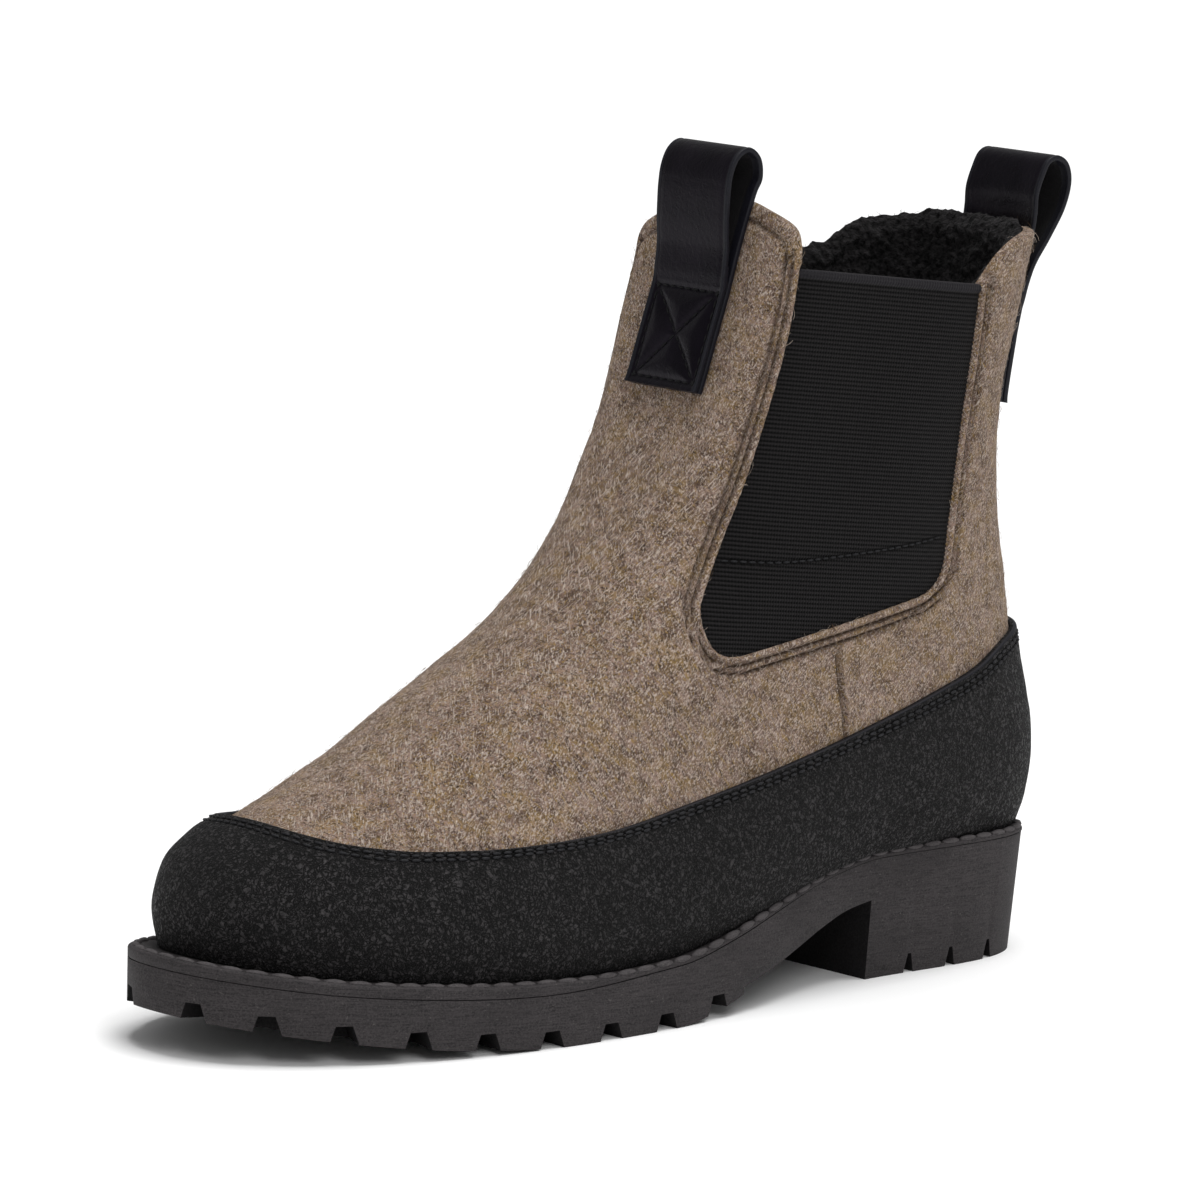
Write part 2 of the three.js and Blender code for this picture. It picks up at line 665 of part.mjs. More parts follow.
// Gore outline in side view, drawn in by a margin and closed by a line or run out over the top.
function goreShape(margin, open) {
  const [rearX, rearZ] = at(GORE_REAR_TOP);
  const [frontX, frontZ] = at(GORE_FRONT_TOP);
  const shape = new THREE.Shape();
  shape.moveTo(rearX + margin, rearZ);
  const [rearBendX, rearBendZ] = at(GORE_REAR_BEND);
  const [rearFootX, rearFootZ] = at(GORE_REAR_FOOT);
  shape.quadraticCurveTo(rearBendX + margin, rearBendZ, rearFootX + margin, rearFootZ);
  const [rearCornerX, rearCornerZ] = at(GORE_REAR_CORNER);
  const [baseRearX, baseRearZ] = at(GORE_BASE_REAR);
  shape.quadraticCurveTo(rearCornerX + margin, rearCornerZ + margin, baseRearX, baseRearZ + margin);
  const [baseFrontX, baseFrontZ] = at(GORE_BASE_FRONT);
  shape.lineTo(baseFrontX, baseFrontZ + margin);
  const [frontCornerX, frontCornerZ] = at(GORE_FRONT_CORNER);
  const [frontFootX, frontFootZ] = at(GORE_FRONT_FOOT);
  shape.quadraticCurveTo(frontCornerX - margin, frontCornerZ + margin, frontFootX - margin, frontFootZ);
  const [frontBendX, frontBendZ] = at(GORE_FRONT_BEND);
  shape.quadraticCurveTo(frontBendX - margin, frontBendZ, frontX - margin, frontZ);
  if (open) {
    const [leanX, leanZ] = at(FRONT_TAB_LEAN);
    shape.lineTo(leanX, leanZ);
    shape.lineTo(REAR_TAB_TOP[0] * LENGTH, leanZ);
    shape.lineTo(...at(REAR_TAB_TOP));
    shape.lineTo(...at(REAR_TAB_CORNER));
  }
  shape.closePath();
  return shape;
}

// What lies outside the front tab's rounded corners, seen from the front.
function frontTabCutter() {
  const cutters = [["lateral", 1], ["medial", -1]].map(([name, sign]) => {
    const rows = records(FRONT_TAB_COLUMNS, FRONT_TAB);
    const side = rows.map((row) => [sign * row.y * BALL_WIDTH, row[name] * COLLAR_BACK]);
    const [lowZ, highY, highZ] = [side[0][1], side[side.length - 1][0], side[side.length - 1][1] + BEYOND];
    const shape = shapeOf([...side, [highY, highZ], [sign * BALL_WIDTH, highZ], [sign * BALL_WIDTH, lowZ]]);
    return prism(shape, FRONT_TAB_REAR_SHARE * LENGTH, LENGTH, [Y, Z, X]);
  });
  return cutters[0].add(cutters[1]);
}

function makeUpper() {
  const shell = upperForm(0, 0).subtract(upperForm(-FELT, 2 * FELT));
  const [rearX, rearZ] = at([REAR_TAB_FRONT_SHARE, REAR_TAB_TOP[1]]);
  const above = [[-BEYOND, rearZ], [rearX, rearZ], [rearX, rearZ + BEYOND], [-BEYOND, rearZ + BEYOND]];
  const cutters = [goreShape(0, true), shapeOf(above)].map((shape) => sidePrism(shape));
  return shell.subtract(cutters[0]).subtract(cutters[1]).subtract(frontTabCutter());
}

function makeGore(side) {
  const skin = upperForm(-GORE_RECESS, GAP).subtract(upperForm(-GORE_RECESS - GORE_THICK, 2 * FELT));
  const [low, high] = side > 0 ? [FELT, BEYOND] : [-BEYOND, -FELT];
  return skin.intersect(sidePrism(goreShape(GAP, false), low, high));
}

function makeRand() {
  const outer = upperForm(GAP + RAND_THICK, FELT);
  return outer.subtract(upperForm(GAP, 2 * FELT)).intersect(sideBand(weltTop, randTop));
}

// Pull loops

// The felt's face in front or behind at a distance from the boot's middle, as x at a height.
function faceLine(front, y) {
  const start = front ? SIDE_STEPS : 0;
  const step = front === (y > 0) ? -1 : 1;
  const points = upperGrid.map((ring) => {
    const at = (k) => ring[(start + step * k + ring.length) % ring.length];
    let k = 0;
    while (Math.abs(at(k + 1).y) < Math.abs(y)) k++;
    return at(k).clone().lerp(at(k + 1), (y - at(k).y) / (at(k + 1).y - at(k).y));
  });
  points.sort((a, b) => a.z - b.z);
  return monotone(points.map((p) => p.z), points.map((p) => p.x));
}

// Side-view outline of a loop and its patch, with the finger's opening: lengths up from the patch's top
// and out from the felt.
function loopShape(rows, rise, tabRise) {
  const knots = rows.map((row) => {
    return new THREE.Vector3(row.up * rise, GAP + row.layer * STRAP_THICK + row.out * LOOP_DEPTH, 0);
  });
  const path = new THREE.CatmullRomCurve3(knots, false, "centripetal").getSpacedPoints(LOOP_STEPS);
  const edge = (sign) => path.map((p, i) => {
    const along = path[Math.min(i + 1, path.length - 1)].clone().sub(path[Math.max(i - 1, 0)]).normalize();
    return [p.x + (sign * along.y * STRAP_THICK) / 2, p.y - (sign * along.x * STRAP_THICK) / 2];
  });
  const outside = edge(-1).map(([up, out], i) => {
    const onFelt = i > path.length / 2 && up < tabRise - SUNK;
    return [up, onFelt ? out - SUNK : out];
  });
  const patch = Array.from({ length: PATCH_STEPS }, (_, i) => {
    return [-PATCH_LENGTH * (1 - i / PATCH_STEPS), GAP + 2 * STRAP_THICK];
  });
  const opening = edge(1).filter(([up]) => up > PARTING_SHARE * rise);
  return { outline: [...patch, ...outside, [-PATCH_LENGTH, GAP - SUNK]], opening };
}

function makePullLoop(front) {
  const middle = faceLine(front, 0);
  const patchTop = front ? FRONT_PATCH_TOP : REAR_PATCH_TOP;
  const rise = front ? FRONT_LOOP_RISE : REAR_LOOP_RISE;
  const tabTop = front ? collarTop(GORE_FRONT_TOP[0] * LENGTH) : REAR_TAB_TOP[1] * COLLAR_BACK;
  const foot = new THREE.Vector2(middle(patchTop), patchTop);
  const up = new THREE.Vector2(middle(tabTop), tabTop).sub(foot).normalize();
  const out = front ? new THREE.Vector2(up.y, -up.x) : new THREE.Vector2(-up.y, up.x);
  const rows = records(LOOP_COLUMNS, front ? FRONT_LOOP : REAR_LOOP);
  const { outline, opening } = loopShape(rows, rise, (tabTop - patchTop) / up.y);
  const place = ([along, off]) => foot.clone().addScaledVector(up, along).addScaledVector(out, off);
  const [edge, hole] = [outline, opening].map((points) => {
    const placed = points.map(place);
    return front ? placed : placed.reverse();
  });
  const shape = new THREE.Shape(edge);
  shape.holes.push(new THREE.Path(hole));
  const options = { depth: STRAP_WIDTH, steps: ACROSS_STEPS, bevelEnabled: false };
  const geometry = new THREE.ExtrudeGeometry(shape, options);
  geometry.translate(0, 0, -STRAP_WIDTH / 2);
  geometry.applyMatrix4(new THREE.Matrix4().makeBasis(X, Z, Y));
  const position = geometry.attributes.position;
  const faces = new Map();
  for (let i = 0; i < position.count; i++) {
    const [x, y, z] = [position.getX(i), position.getY(i), position.getZ(i)];
    const key = y.toFixed(3);
    if (!faces.has(key)) faces.set(key, faceLine(front, y));
    const height = Math.min(z, tabTop);
    const straight = foot.x + ((height - foot.y) * up.x) / up.y;
    const fade = THREE.MathUtils.clamp(1 - (z - tabTop) / (patchTop + rise - tabTop), 0, 1);
    const bend = (faces.get(key)(height) - middle(height)) * fade;
    position.setX(i, x + middle(height) - straight + bend);
  }
  return manifoldOf(geometry).subtract(upperForm(GAP, 0));
}

// Assembly

function material(colour, roughness) {
  return new THREE.MeshStandardMaterial({ color: colour, roughness, metalness: 0 });
}

const PIECES = [
  ["outsole", makeOutsole(), material(CHARCOAL_RUBBER, 0.75)],
  ["welt", makeWelt(), material(CHARCOAL_RUBBER, 0.7)],
  ["insole", makeInsole(), material(BOARD_COLOUR, 0.9)],
  ["upper", makeUpper(), material(FELT_COLOUR, 1)],
  ["gore_lateral", makeGore(1), material(BLACK_ELASTIC, 0.85)],
  ["gore_medial", makeGore(-1), material(BLACK_ELASTIC, 0.85)],
  ["rand", makeRand(), material(BLACK_RAND, 0.7)],
  ["pull_loop_front", makePullLoop(true), material(BLACK_LEATHER, 0.45)],
  ["pull_loop_back", makePullLoop(false), material(BLACK_LEATHER, 0.45)],
];

const boot = new THREE.Group();
for (const [name, solid, finish] of PIECES) {
  const mesh = new THREE.Mesh(meshOf(solid), finish);
  mesh.name = name;
  boot.add(mesh);
}

// The boot's origin is under the middle of its length and width, on the floor.
const box = new THREE.Box3().setFromObject(boot);
const middle = box.getCenter(new THREE.Vector3());
for (const mesh of boot.children) {
  mesh.position.set(-middle.x, -middle.y, -box.min.z);
}

export default boot;
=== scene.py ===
"""Left felt ankle boot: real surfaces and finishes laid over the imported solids. Table lengths are in millimetres."""
import sys

import logging
import math
from dataclasses import dataclass, field
from enum import Enum
from typing import Callable, Sequence

import bpy
import numpy as np
from mathutils import Matrix, Vector
from mathutils.geometry import delaunay_2d_cdt


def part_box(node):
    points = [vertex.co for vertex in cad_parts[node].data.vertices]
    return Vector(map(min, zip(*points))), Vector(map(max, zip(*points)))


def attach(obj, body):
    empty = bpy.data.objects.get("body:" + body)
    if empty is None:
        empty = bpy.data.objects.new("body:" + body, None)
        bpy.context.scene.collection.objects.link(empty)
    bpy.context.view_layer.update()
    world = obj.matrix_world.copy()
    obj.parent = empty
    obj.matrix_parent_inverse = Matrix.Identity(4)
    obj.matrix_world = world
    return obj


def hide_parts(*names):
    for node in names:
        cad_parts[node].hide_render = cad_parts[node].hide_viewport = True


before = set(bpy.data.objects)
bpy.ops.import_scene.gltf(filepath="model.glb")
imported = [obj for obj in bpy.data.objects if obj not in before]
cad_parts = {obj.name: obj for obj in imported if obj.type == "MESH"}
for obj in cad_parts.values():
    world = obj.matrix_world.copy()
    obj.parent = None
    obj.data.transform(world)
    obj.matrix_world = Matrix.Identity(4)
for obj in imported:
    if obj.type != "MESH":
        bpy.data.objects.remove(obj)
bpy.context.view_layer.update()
LOG = logging.getLogger("boot")
MM = 0.001
BODY = "root"

Array = np.ndarray
Curve = Callable[[Array], Array]


class Side(Enum):
    """Side of the foot, with the sign of its Y."""

    LATERAL = 1
    MEDIAL = -1


class End(Enum):
    """End of the boot where a pull loop is sewn."""

    FRONT = "front"
    BACK = "back"


# Curves


def monotone(xs: Sequence[float], ys: Sequence[float]) -> Curve:
    """Smooth curve through points that never overshoots them.

    Args:
        xs: Places of the points, rising.
        ys: Their values.

    Returns:
        A function from places to values, flat beyond both ends.
    """
    x, y = np.asarray(xs, float), np.asarray(ys, float)
    step = np.diff(x)
    slope = np.diff(y) / step
    tangent = np.concatenate([[slope[0]], np.zeros(len(x) - 2), [slope[-1]]])
    before, after = slope[:-1], slope[1:]
    total = np.where(before + after == 0, 1, before + after)
    tangent[1:-1] = np.where(before * after <= 0, 0, 2 * before * after / total)

    def value(at: Array) -> Array:
        """Values at the given places."""
        v = np.clip(at, x[0], x[-1])
        i = np.clip(np.searchsorted(x, v, side="right") - 1, 0, len(step) - 1)
        t = (v - x[i]) / step[i]
        base = y[i] + (y[i + 1] - y[i]) * t * t * (3 - 2 * t)
        return base + step[i] * t * (1 - t) * (tangent[i] * (1 - t) - tangent[i + 1] * t)

    return value


def resample(path: Array, count: int) -> Array:
    """Points at even spacing along a path.

    Args:
        path: Points of the path, one a row.
        count: Number of steps.

    Returns:
        count + 1 points.
    """
    along = path_length(path)
    even = np.linspace(0, along[-1], count + 1)
    return np.stack([np.interp(even, along, path[:, k]) for k in range(path.shape[1])], 1)


def path_length(path: Array) -> Array:
    """Running length at each point of a path."""
    return np.concatenate([[0], np.cumsum(np.linalg.norm(np.diff(path, axis=0), axis=1))])


def bezier(a: Array, b: Array, c: Array, count: int) -> Array:
    """Points of a quadratic curve from a to c that leans to b, without c."""
    t = np.linspace(0, 1, count, endpoint=False)[:, None]
    return (1 - t) ** 2 * a + 2 * t * (1 - t) * b + t * t * c


def catmull(knots: Array, count: int) -> Array:
    """Smooth path through knots, resampled to count steps."""
    ends = np.vstack([2 * knots[0] - knots[1], knots, 2 * knots[-1] - knots[-2]])
    pieces = []
    for i in range(1, len(ends) - 2):
        p0, p1, p2, p3 = ends[i - 1 : i + 3]
        t = np.linspace(0, 1, 24, endpoint=False)[:, None]
        pieces.append(
            0.5 * (2 * p1 + (p2 - p0) * t + (2 * p0 - 5 * p1 + 4 * p2 - p3) * t**2 + (3 * p1 - p0 - 3 * p2 + p3) * t**3)
        )
    return resample(np.vstack([*pieces, knots[-1:]]), count)


def waves(points: Array, wavelength: float, seed: int) -> Array:
    """Smooth uneven values between about -1 and 1, from crossed waves.

    Args:
        points: Places, one a row.
        wavelength: Mean length of a wave.
        seed: Seed of the random directions.

    Returns:
        One value a place.
    """
    rng = np.random.default_rng(seed)
    total = np.zeros(len(points))
    for _ in range(9):
        direction = rng.normal(size=3)
        direction /= np.linalg.norm(direction)
        length = wavelength * rng.uniform(0.7, 1.5)
        total += np.sin(points @ direction * 2 * math.pi / length + rng.uniform(0, 2 * math.pi))
    return total / 4


# Form of the boot


@dataclass
class Last:
    """The boot's form: sole outline, welt line, and the felt's face as a grid of rings."""

    length: float = 270
    ball_width: float = 95
    heel_stack: float = 33.4
    ball_stack: float = 16.2
    toe_stack: float = 25.5
    collar_back: float = 188
    collar_slope: float = 0.1226
    waist_at: dict[Side, float] = field(default_factory=lambda: {Side.LATERAL: 0.25, Side.MEDIAL: 0.34})
    waist_spread: float = 0.14
    steps: int = 240
    rises: int = 220
    columns: tuple[str, ...] = (
        "back", "front", "lateral", "medial", "wide", "blunt_front", "blunt_back", "waist_lateral", "waist_medial",
        "swing",
    )
    sole: tuple[float, ...] = (0, 1, 0.515, 0.485, 0.634, 2.25, 2.95, 0.285, 0.27, -0.035)
    upper: tuple[tuple[float, ...], ...] = (
        (0, 0.001, 0.96, 0.453, 0.432, 0.622, 2.25, 2.5, 0.19, 0.24, -0.042),
        (0.05, -0.007, 0.965, 0.474, 0.453, 0.619, 2.25, 2.5, 0.15, 0.22, -0.042),
        (0.1, -0.013, 0.955, 0.468, 0.447, 0.611, 2.25, 2.5, 0.11, 0.19, -0.042),
        (0.14, -0.015, 0.925, 0.453, 0.437, 0.6, 2.2, 2.5, 0.08, 0.16, -0.042),
        (0.17, -0.014, 0.88, 0.442, 0.426, 0.585, 2.15, 2.5, 0.07, 0.14, -0.037),
        (0.22, -0.009, 0.811, 0.421, 0.411, 0.563, 2.1, 2.5, 0.05, 0.11, -0.032),
        (0.3, 0.003, 0.72, 0.395, 0.389, 0.519, 2.05, 2.5, 0.03, 0.06, -0.021),
        (0.4, 0.0115, 0.604, 0.374, 0.368, 0.426, 2.05, 2.4, 0.01, 0.02, -0.011),
        (0.52, 0.027, 0.512, 0.353, 0.353, 0.333, 2.6, 2.35, 0, 0, 0),
        (0.66, 0.036, 0.434, 0.347, 0.347, 0.278, 4.9, 2.45, 0, 0, 0),
        (0.82, 0.026, 0.394, 0.353, 0.353, 0.244, 6.5, 2.65, 0, 0, 0),
        (1, 0.007, 0.357, 0.358, 0.358, 0.23, 7.2, 2.9, 0, 0, 0),
    )
    lift: tuple[tuple[float, float, float], ...] = (
        (-0.04, 0.92, 0), (0.13, 1, 0), (0.237, 0.99, 0), (0.311, 0.85, 0), (0.389, 0.57, 0), (0.463, 0.28, 0),
        (0.537, 0.06, 0), (0.633, 0, 0), (0.737, 0, 0.09), (0.83, 0, 0.28), (0.896, 0, 0.47), (0.956, 0, 0.71),
        (1.02, 0, 1),
    )

    def __post_init__(self) -> None:
        """Makes the curves, the grid of the felt's face and the shift to the part's own frame."""
        x, heel, toe = np.array(self.lift).T
        self.heel_lift, self.toe_lift = monotone(x, heel), monotone(x, toe)
        table = np.array(self.upper)
        self.curves = [monotone(table[:, 0], table[:, k + 1]) for k in range(len(self.columns))]
        self.grid = np.array([self.ring(rise) for rise in np.linspace(0, 1, self.rises + 1)])
        around = np.roll(self.grid, -1, 1) - np.roll(self.grid, 1, 1)
        up = np.gradient(self.grid, axis=0)
        normals = np.cross(around, up)
        normals /= np.linalg.norm(normals, axis=2, keepdims=True)
        outwards = np.sum(normals * (self.grid - self.grid.mean((0, 1)))) > 0
        self.normals = normals if outwards else -normals
        low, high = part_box("welt")
        outline = self.outline(self.steps)
        self.shift = np.array([low.x / MM - outline[:, 0].min(), high.y / MM - outline[:, 1].max(), 0])

    def welt_top(self, x: Array) -> Array:
        """Height of the welt's top at a distance from the heel."""
        share = np.asarray(x) / self.length
        heel = self.heel_lift(share) * (self.heel_stack - self.ball_stack)
        return self.ball_stack + heel + self.toe_lift(share) * (self.toe_stack - self.ball_stack)

    def egg(self, row: Sequence[float], side: Side, count: int) -> Array:
        """One side of an egg outline from back to front.

        Args:
            row: Values of the named columns.
            side: Side of the foot.
            count: Number of steps.

        Returns:
            count + 1 points in plan.
        """
        value = dict(zip(self.columns, row))
        back, front, wide = (value[name] * self.length for name in ("back", "front", "wide"))
        half = self.ball_width * value[side.name.lower()]
        waist, waist_at = value["waist_" + side.name.lower()], self.length * self.waist_at[side]
        angle = np.linspace(0, math.pi / 2, 160)
        ahead = 2 / value["blunt_front"]
        behind = 2 / value["blunt_back"]
        x = np.concatenate([
            wide + (back - wide) * np.sin(angle[::-1]) ** behind,
            wide + (front - wide) * np.sin(angle[1:]) ** ahead,
        ])
        y = np.concatenate([np.cos(angle[::-1]) ** behind, np.cos(angle[1:]) ** ahead]) * half
        y *= 1 - waist * np.exp(-(((x - waist_at) / (self.waist_spread * self.length)) ** 2) / 2)
        y[[0, -1]] = 0
        swing = value["swing"] * self.ball_width * (np.clip(x - wide, 0, None) / (front - wide)) ** 2
        return resample(np.stack([x, side.value * y + swing], 1), count)

    def closed(self, row: Sequence[float], count: int) -> Array:
        """Closed outline, lateral side forwards and medial side back."""
        medial = self.egg(row, Side.MEDIAL, count)
        return np.vstack([self.egg(row, Side.LATERAL, count), medial[-2:0:-1]])

    def outline(self, count: int) -> Array:
        """Closed outline of the sole in plan."""
        return self.closed(self.sole, count)

    def ring(self, rise: float) -> Array:
        """Ring of points on the felt's face at a share of the way up to the collar."""
        plan = self.closed([float(curve(np.array(rise))) for curve in self.curves], self.steps)
        collar = self.collar_back + self.collar_slope * plan[:, 0]
        z = self.welt_top(plan[:, 0]) * (1 - rise) + collar * rise
        return np.column_stack([plan, z])

    def sample(self, grid: Array, uv: Array) -> Array:
        """Bilinear reading of a grid at (around, rise); around is 0 behind, 1 in front and 2 behind again."""
        a, b = uv[:, 0] * self.steps, np.clip(uv[:, 1], 0, 1) * self.rises
        i, j = np.floor(a).astype(int), np.clip(np.floor(b).astype(int), 0, self.rises - 1)
        s, t = (a - i)[:, None], (b - j)[:, None]
        i0, i1 = i % (2 * self.steps), (i + 1) % (2 * self.steps)
        low = grid[j, i0] * (1 - s) + grid[j, i1] * s
        return low * (1 - t) + (grid[j + 1, i0] * (1 - s) + grid[j + 1, i1] * s) * t

    def face(self, uv: Array, off: Array | float = 0.0) -> Array:
        """Points on the felt's face, moved off it along its normals."""
        normal = self.normal(uv)
        return self.sample(self.grid, uv) + normal * np.reshape(off, (-1, 1))

    def normal(self, uv: Array) -> Array:
        """Unit normals of the felt's face."""
        found = self.sample(self.normals, uv)
        return found / np.linalg.norm(found, axis=1, keepdims=True)

    def find(self, targets: Array, weights: tuple[float, float, float], low: float, high: float) -> Array:
        """Places on the face nearest to points.

        Args:
            targets: Points, one a row.
            weights: Weight of x, y and z; 0 leaves that one out.
            low: Least place around that is looked at.
            high: Greatest place around.

        Returns:
            (around, rise) of each point.
        """
        weight = np.array(weights, float)
        us = np.linspace(low, high, 61)
        vs = np.linspace(0, 1, 45)
        start = np.stack(np.meshgrid(us, vs), -1).reshape(-1, 2)
        known = self.face(start)
        uv = np.empty((len(targets), 2))
        for k in range(0, len(targets), 400):
            gap = ((known[None] - targets[k : k + 400, None]) ** 2 * weight).sum(2)
            uv[k : k + 400] = start[gap.argmin(1)]
        step = np.array([0.6 / self.steps, 0.6 / self.rises])
        for _ in range(9):
            here = self.face(uv)
            across = (self.face(uv + [step[0], 0]) - self.face(uv - [step[0], 0])) / (2 * step[0])
            lower, upper = np.clip(uv[:, 1] - step[1], 0, 1), np.clip(uv[:, 1] + step[1], 0, 1)
            rise = self.face(np.column_stack([uv[:, 0], upper])) - self.face(np.column_stack([uv[:, 0], lower]))
            rise /= (upper - lower)[:, None]
            miss = targets - here
            aa, bb, ab = ((p * q * weight).sum(1) for p, q in ((across, across), (rise, rise), (across, rise)))
            am, bm = (across * miss * weight).sum(1), (rise * miss * weight).sum(1)
            det = aa * bb - ab * ab + 1e-6
            du, dv = (bb * am - ab * bm) / det, (aa * bm - ab * am) / det
            uv += np.clip(np.column_stack([du, dv]), -0.03, 0.03)
            uv[:, 0] = np.clip(uv[:, 0], low, high)
            uv[:, 1] = np.clip(uv[:, 1], 0, 1)
        return uv

    def from_side(self, xz: Array, side: Side) -> Array:
        """Places on the face of points given in side view."""
        targets = np.column_stack([xz[:, 0], np.zeros(len(xz)), xz[:, 1]])
        return self.find(targets, (1, 0, 1), *((0.0, 1.0) if side is Side.LATERAL else (1.0, 2.0)))

    def from_end(self, yz: Array, end: End) -> Array:
        """Places on the face of points given in front or rear view."""
        targets = np.column_stack([np.zeros(len(yz)), yz])
        return self.find(targets, (0, 1, 1), *((0.55, 1.45) if end is End.FRONT else (-0.4, 0.4)))


# Meshes


def mesh_object(name: str, points: Array, faces: Sequence[Sequence[int]], last: Last) -> bpy.types.Object:
    """Makes a mesh object of points in millimetres.

    Args:
        name: Name of the piece.
        points: Points in the boot's heel-to-toe millimetres.
        faces: Corners of each face.
        last: Form that knows the shift to the part's frame.

    Returns:
        The object, at the origin.
    """
    mesh = bpy.data.meshes.new(name)
    mesh.from_pydata(((points + last.shift) * MM).tolist(), [], [list(map(int, f)) for f in faces])
    mesh.validate()
    mesh.update()
    piece = bpy.data.objects.new(name, mesh)
    bpy.context.scene.collection.objects.link(piece)
    return piece


def grid_faces(rows: int, columns: int, start: int = 0, wrap: bool = False, flip: bool = False) -> list[list[int]]:
    """Quads of a grid of points.

    Args:
        rows: Rows of points.
        columns: Points in a row.
        start: Index of the first point.
        wrap: Joins the last column to the first.
        flip: Turns the faces round.

    Returns:
        Corners of each quad.
    """
    i, j = np.meshgrid(np.arange(rows - 1), np.arange(columns if wrap else columns - 1), indexing="ij")
    right = (j + 1) % columns
    quads = np.stack([i * columns + j, i * columns + right, (i + 1) * columns + right, (i + 1) * columns + j], -1)
    quads = quads.reshape(-1, 4) + start
    return (quads[:, ::-1] if flip else quads).tolist()


def tidy_normals(piece: bpy.types.Object, merge: float = 0.0) -> None:
    """Merges doubles, then turns all faces of a closed mesh outwards.

    Args:
        piece: Mesh object.
        merge: Distance under which points are joined, in millimetres.
    """
    import bmesh

    bm = bmesh.new()
    bm.from_mesh(piece.data)
    if merge > 0:
        bmesh.ops.remove_doubles(bm, verts=bm.verts, dist=merge * MM)
    bmesh.ops.recalc_face_normals(bm, faces=bm.faces)
    bm.to_mesh(piece.data)
    bm.free()


def smooth(piece: bpy.types.Object, angle: float = 180.0) -> None:
    """Shades a mesh smooth, with edges sharper than an angle in degrees kept sharp."""
    piece.data.shade_smooth()
    if angle < 180:
        piece.data.set_sharp_from_angle(angle=math.radians(angle))


def baked(piece: bpy.types.Object) -> bpy.types.Object:
    """Turns the result of a piece's modifiers into its plain mesh."""
    graph = bpy.context.evaluated_depsgraph_get()
    made = bpy.data.meshes.new_from_object(piece.evaluated_get(graph))
    piece.modifiers.clear()
    old = piece.data
    piece.data = made
    bpy.data.meshes.remove(old)
    return piece


def settle(piece: bpy.types.Object, slot: str, material: bpy.types.Material, *nodes: str) -> bpy.types.Object:
    """Gives a piece its finish and its place in the frame.

    Args:
        piece: Finished mesh object.
        slot: Material slot of the record; not used.
        material: Finish.
        *nodes: Solids that the piece stands for.

    Returns:
        The piece.
    """
    if not any(piece.data.materials):
        piece.data.materials.clear()
        piece.data.materials.append(material)
    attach(piece, BODY)
    if nodes:
        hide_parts(*nodes)
    LOG.info("%s: %d faces", piece.name, len(piece.data.polygons))
    return piece


def distance(points: Array, path: Array, step: float = 0.35) -> Array:
    """Distance of each point from a path.

    Args:
        points: Points, one a row.
        path: Points of the path.
        step: Spacing at which the path is sampled.

    Returns:
        One distance a point.
    """
    dense = resample(path, max(2, int(path_length(path)[-1] / step)))
    out = np.empty(len(points))
    for k in range(0, len(points), 500):
        out[k : k + 500] = np.sqrt(((points[k : k + 500, None] - dense[None]) ** 2).sum(2).min(1))
    return out


def inside(points: Array, polygon: Array) -> Array:
    """Whether each point lies in a closed polygon."""
    hit = np.zeros(len(points), bool)
    for a, b in zip(polygon, np.roll(polygon, -1, 0)):
        if a[1] == b[1]:
            continue
        spans = (a[1] > points[:, 1]) != (b[1] > points[:, 1])
        hit ^= spans & (points[:, 0] < (b[0] - a[0]) * (points[:, 1] - a[1]) / (b[1] - a[1]) + a[0])
    return hit


def slab(outer: Array, inner: Array, wrap: bool = False) -> tuple[Array, list[list[int]]]:
    """Closed body between two grids of points of the same shape.

    Args:
        outer: Grid of the outer face, rows by columns by 3.
        inner: Grid of the inner face.
        wrap: Joins the last column to the first.

    Returns:
        Points and faces.
    """
    rows, columns = outer.shape[:2]
    count = rows * columns
    faces = grid_faces(rows, columns, 0, wrap) + grid_faces(rows, columns, count, wrap, True)
    for i, flip in ((0, True), (rows - 1, False)):
        for j in range(columns if wrap else columns - 1):
            a, b = i * columns + j, i * columns + (j + 1) % columns
            faces.append([a, a + count, b + count, b] if flip else [a, b, b + count, a + count])
    if not wrap:
        for j, flip in ((0, False), (columns - 1, True)):
            for i in range(rows - 1):
                a, b = i * columns + j, (i + 1) * columns + j
                faces.append([a, a + count, b + count, b] if flip else [a, b, b + count, a + count])
    return np.vstack([outer.reshape(-1, 3), inner.reshape(-1, 3)]), faces


# Lines sewn or cut on the upper


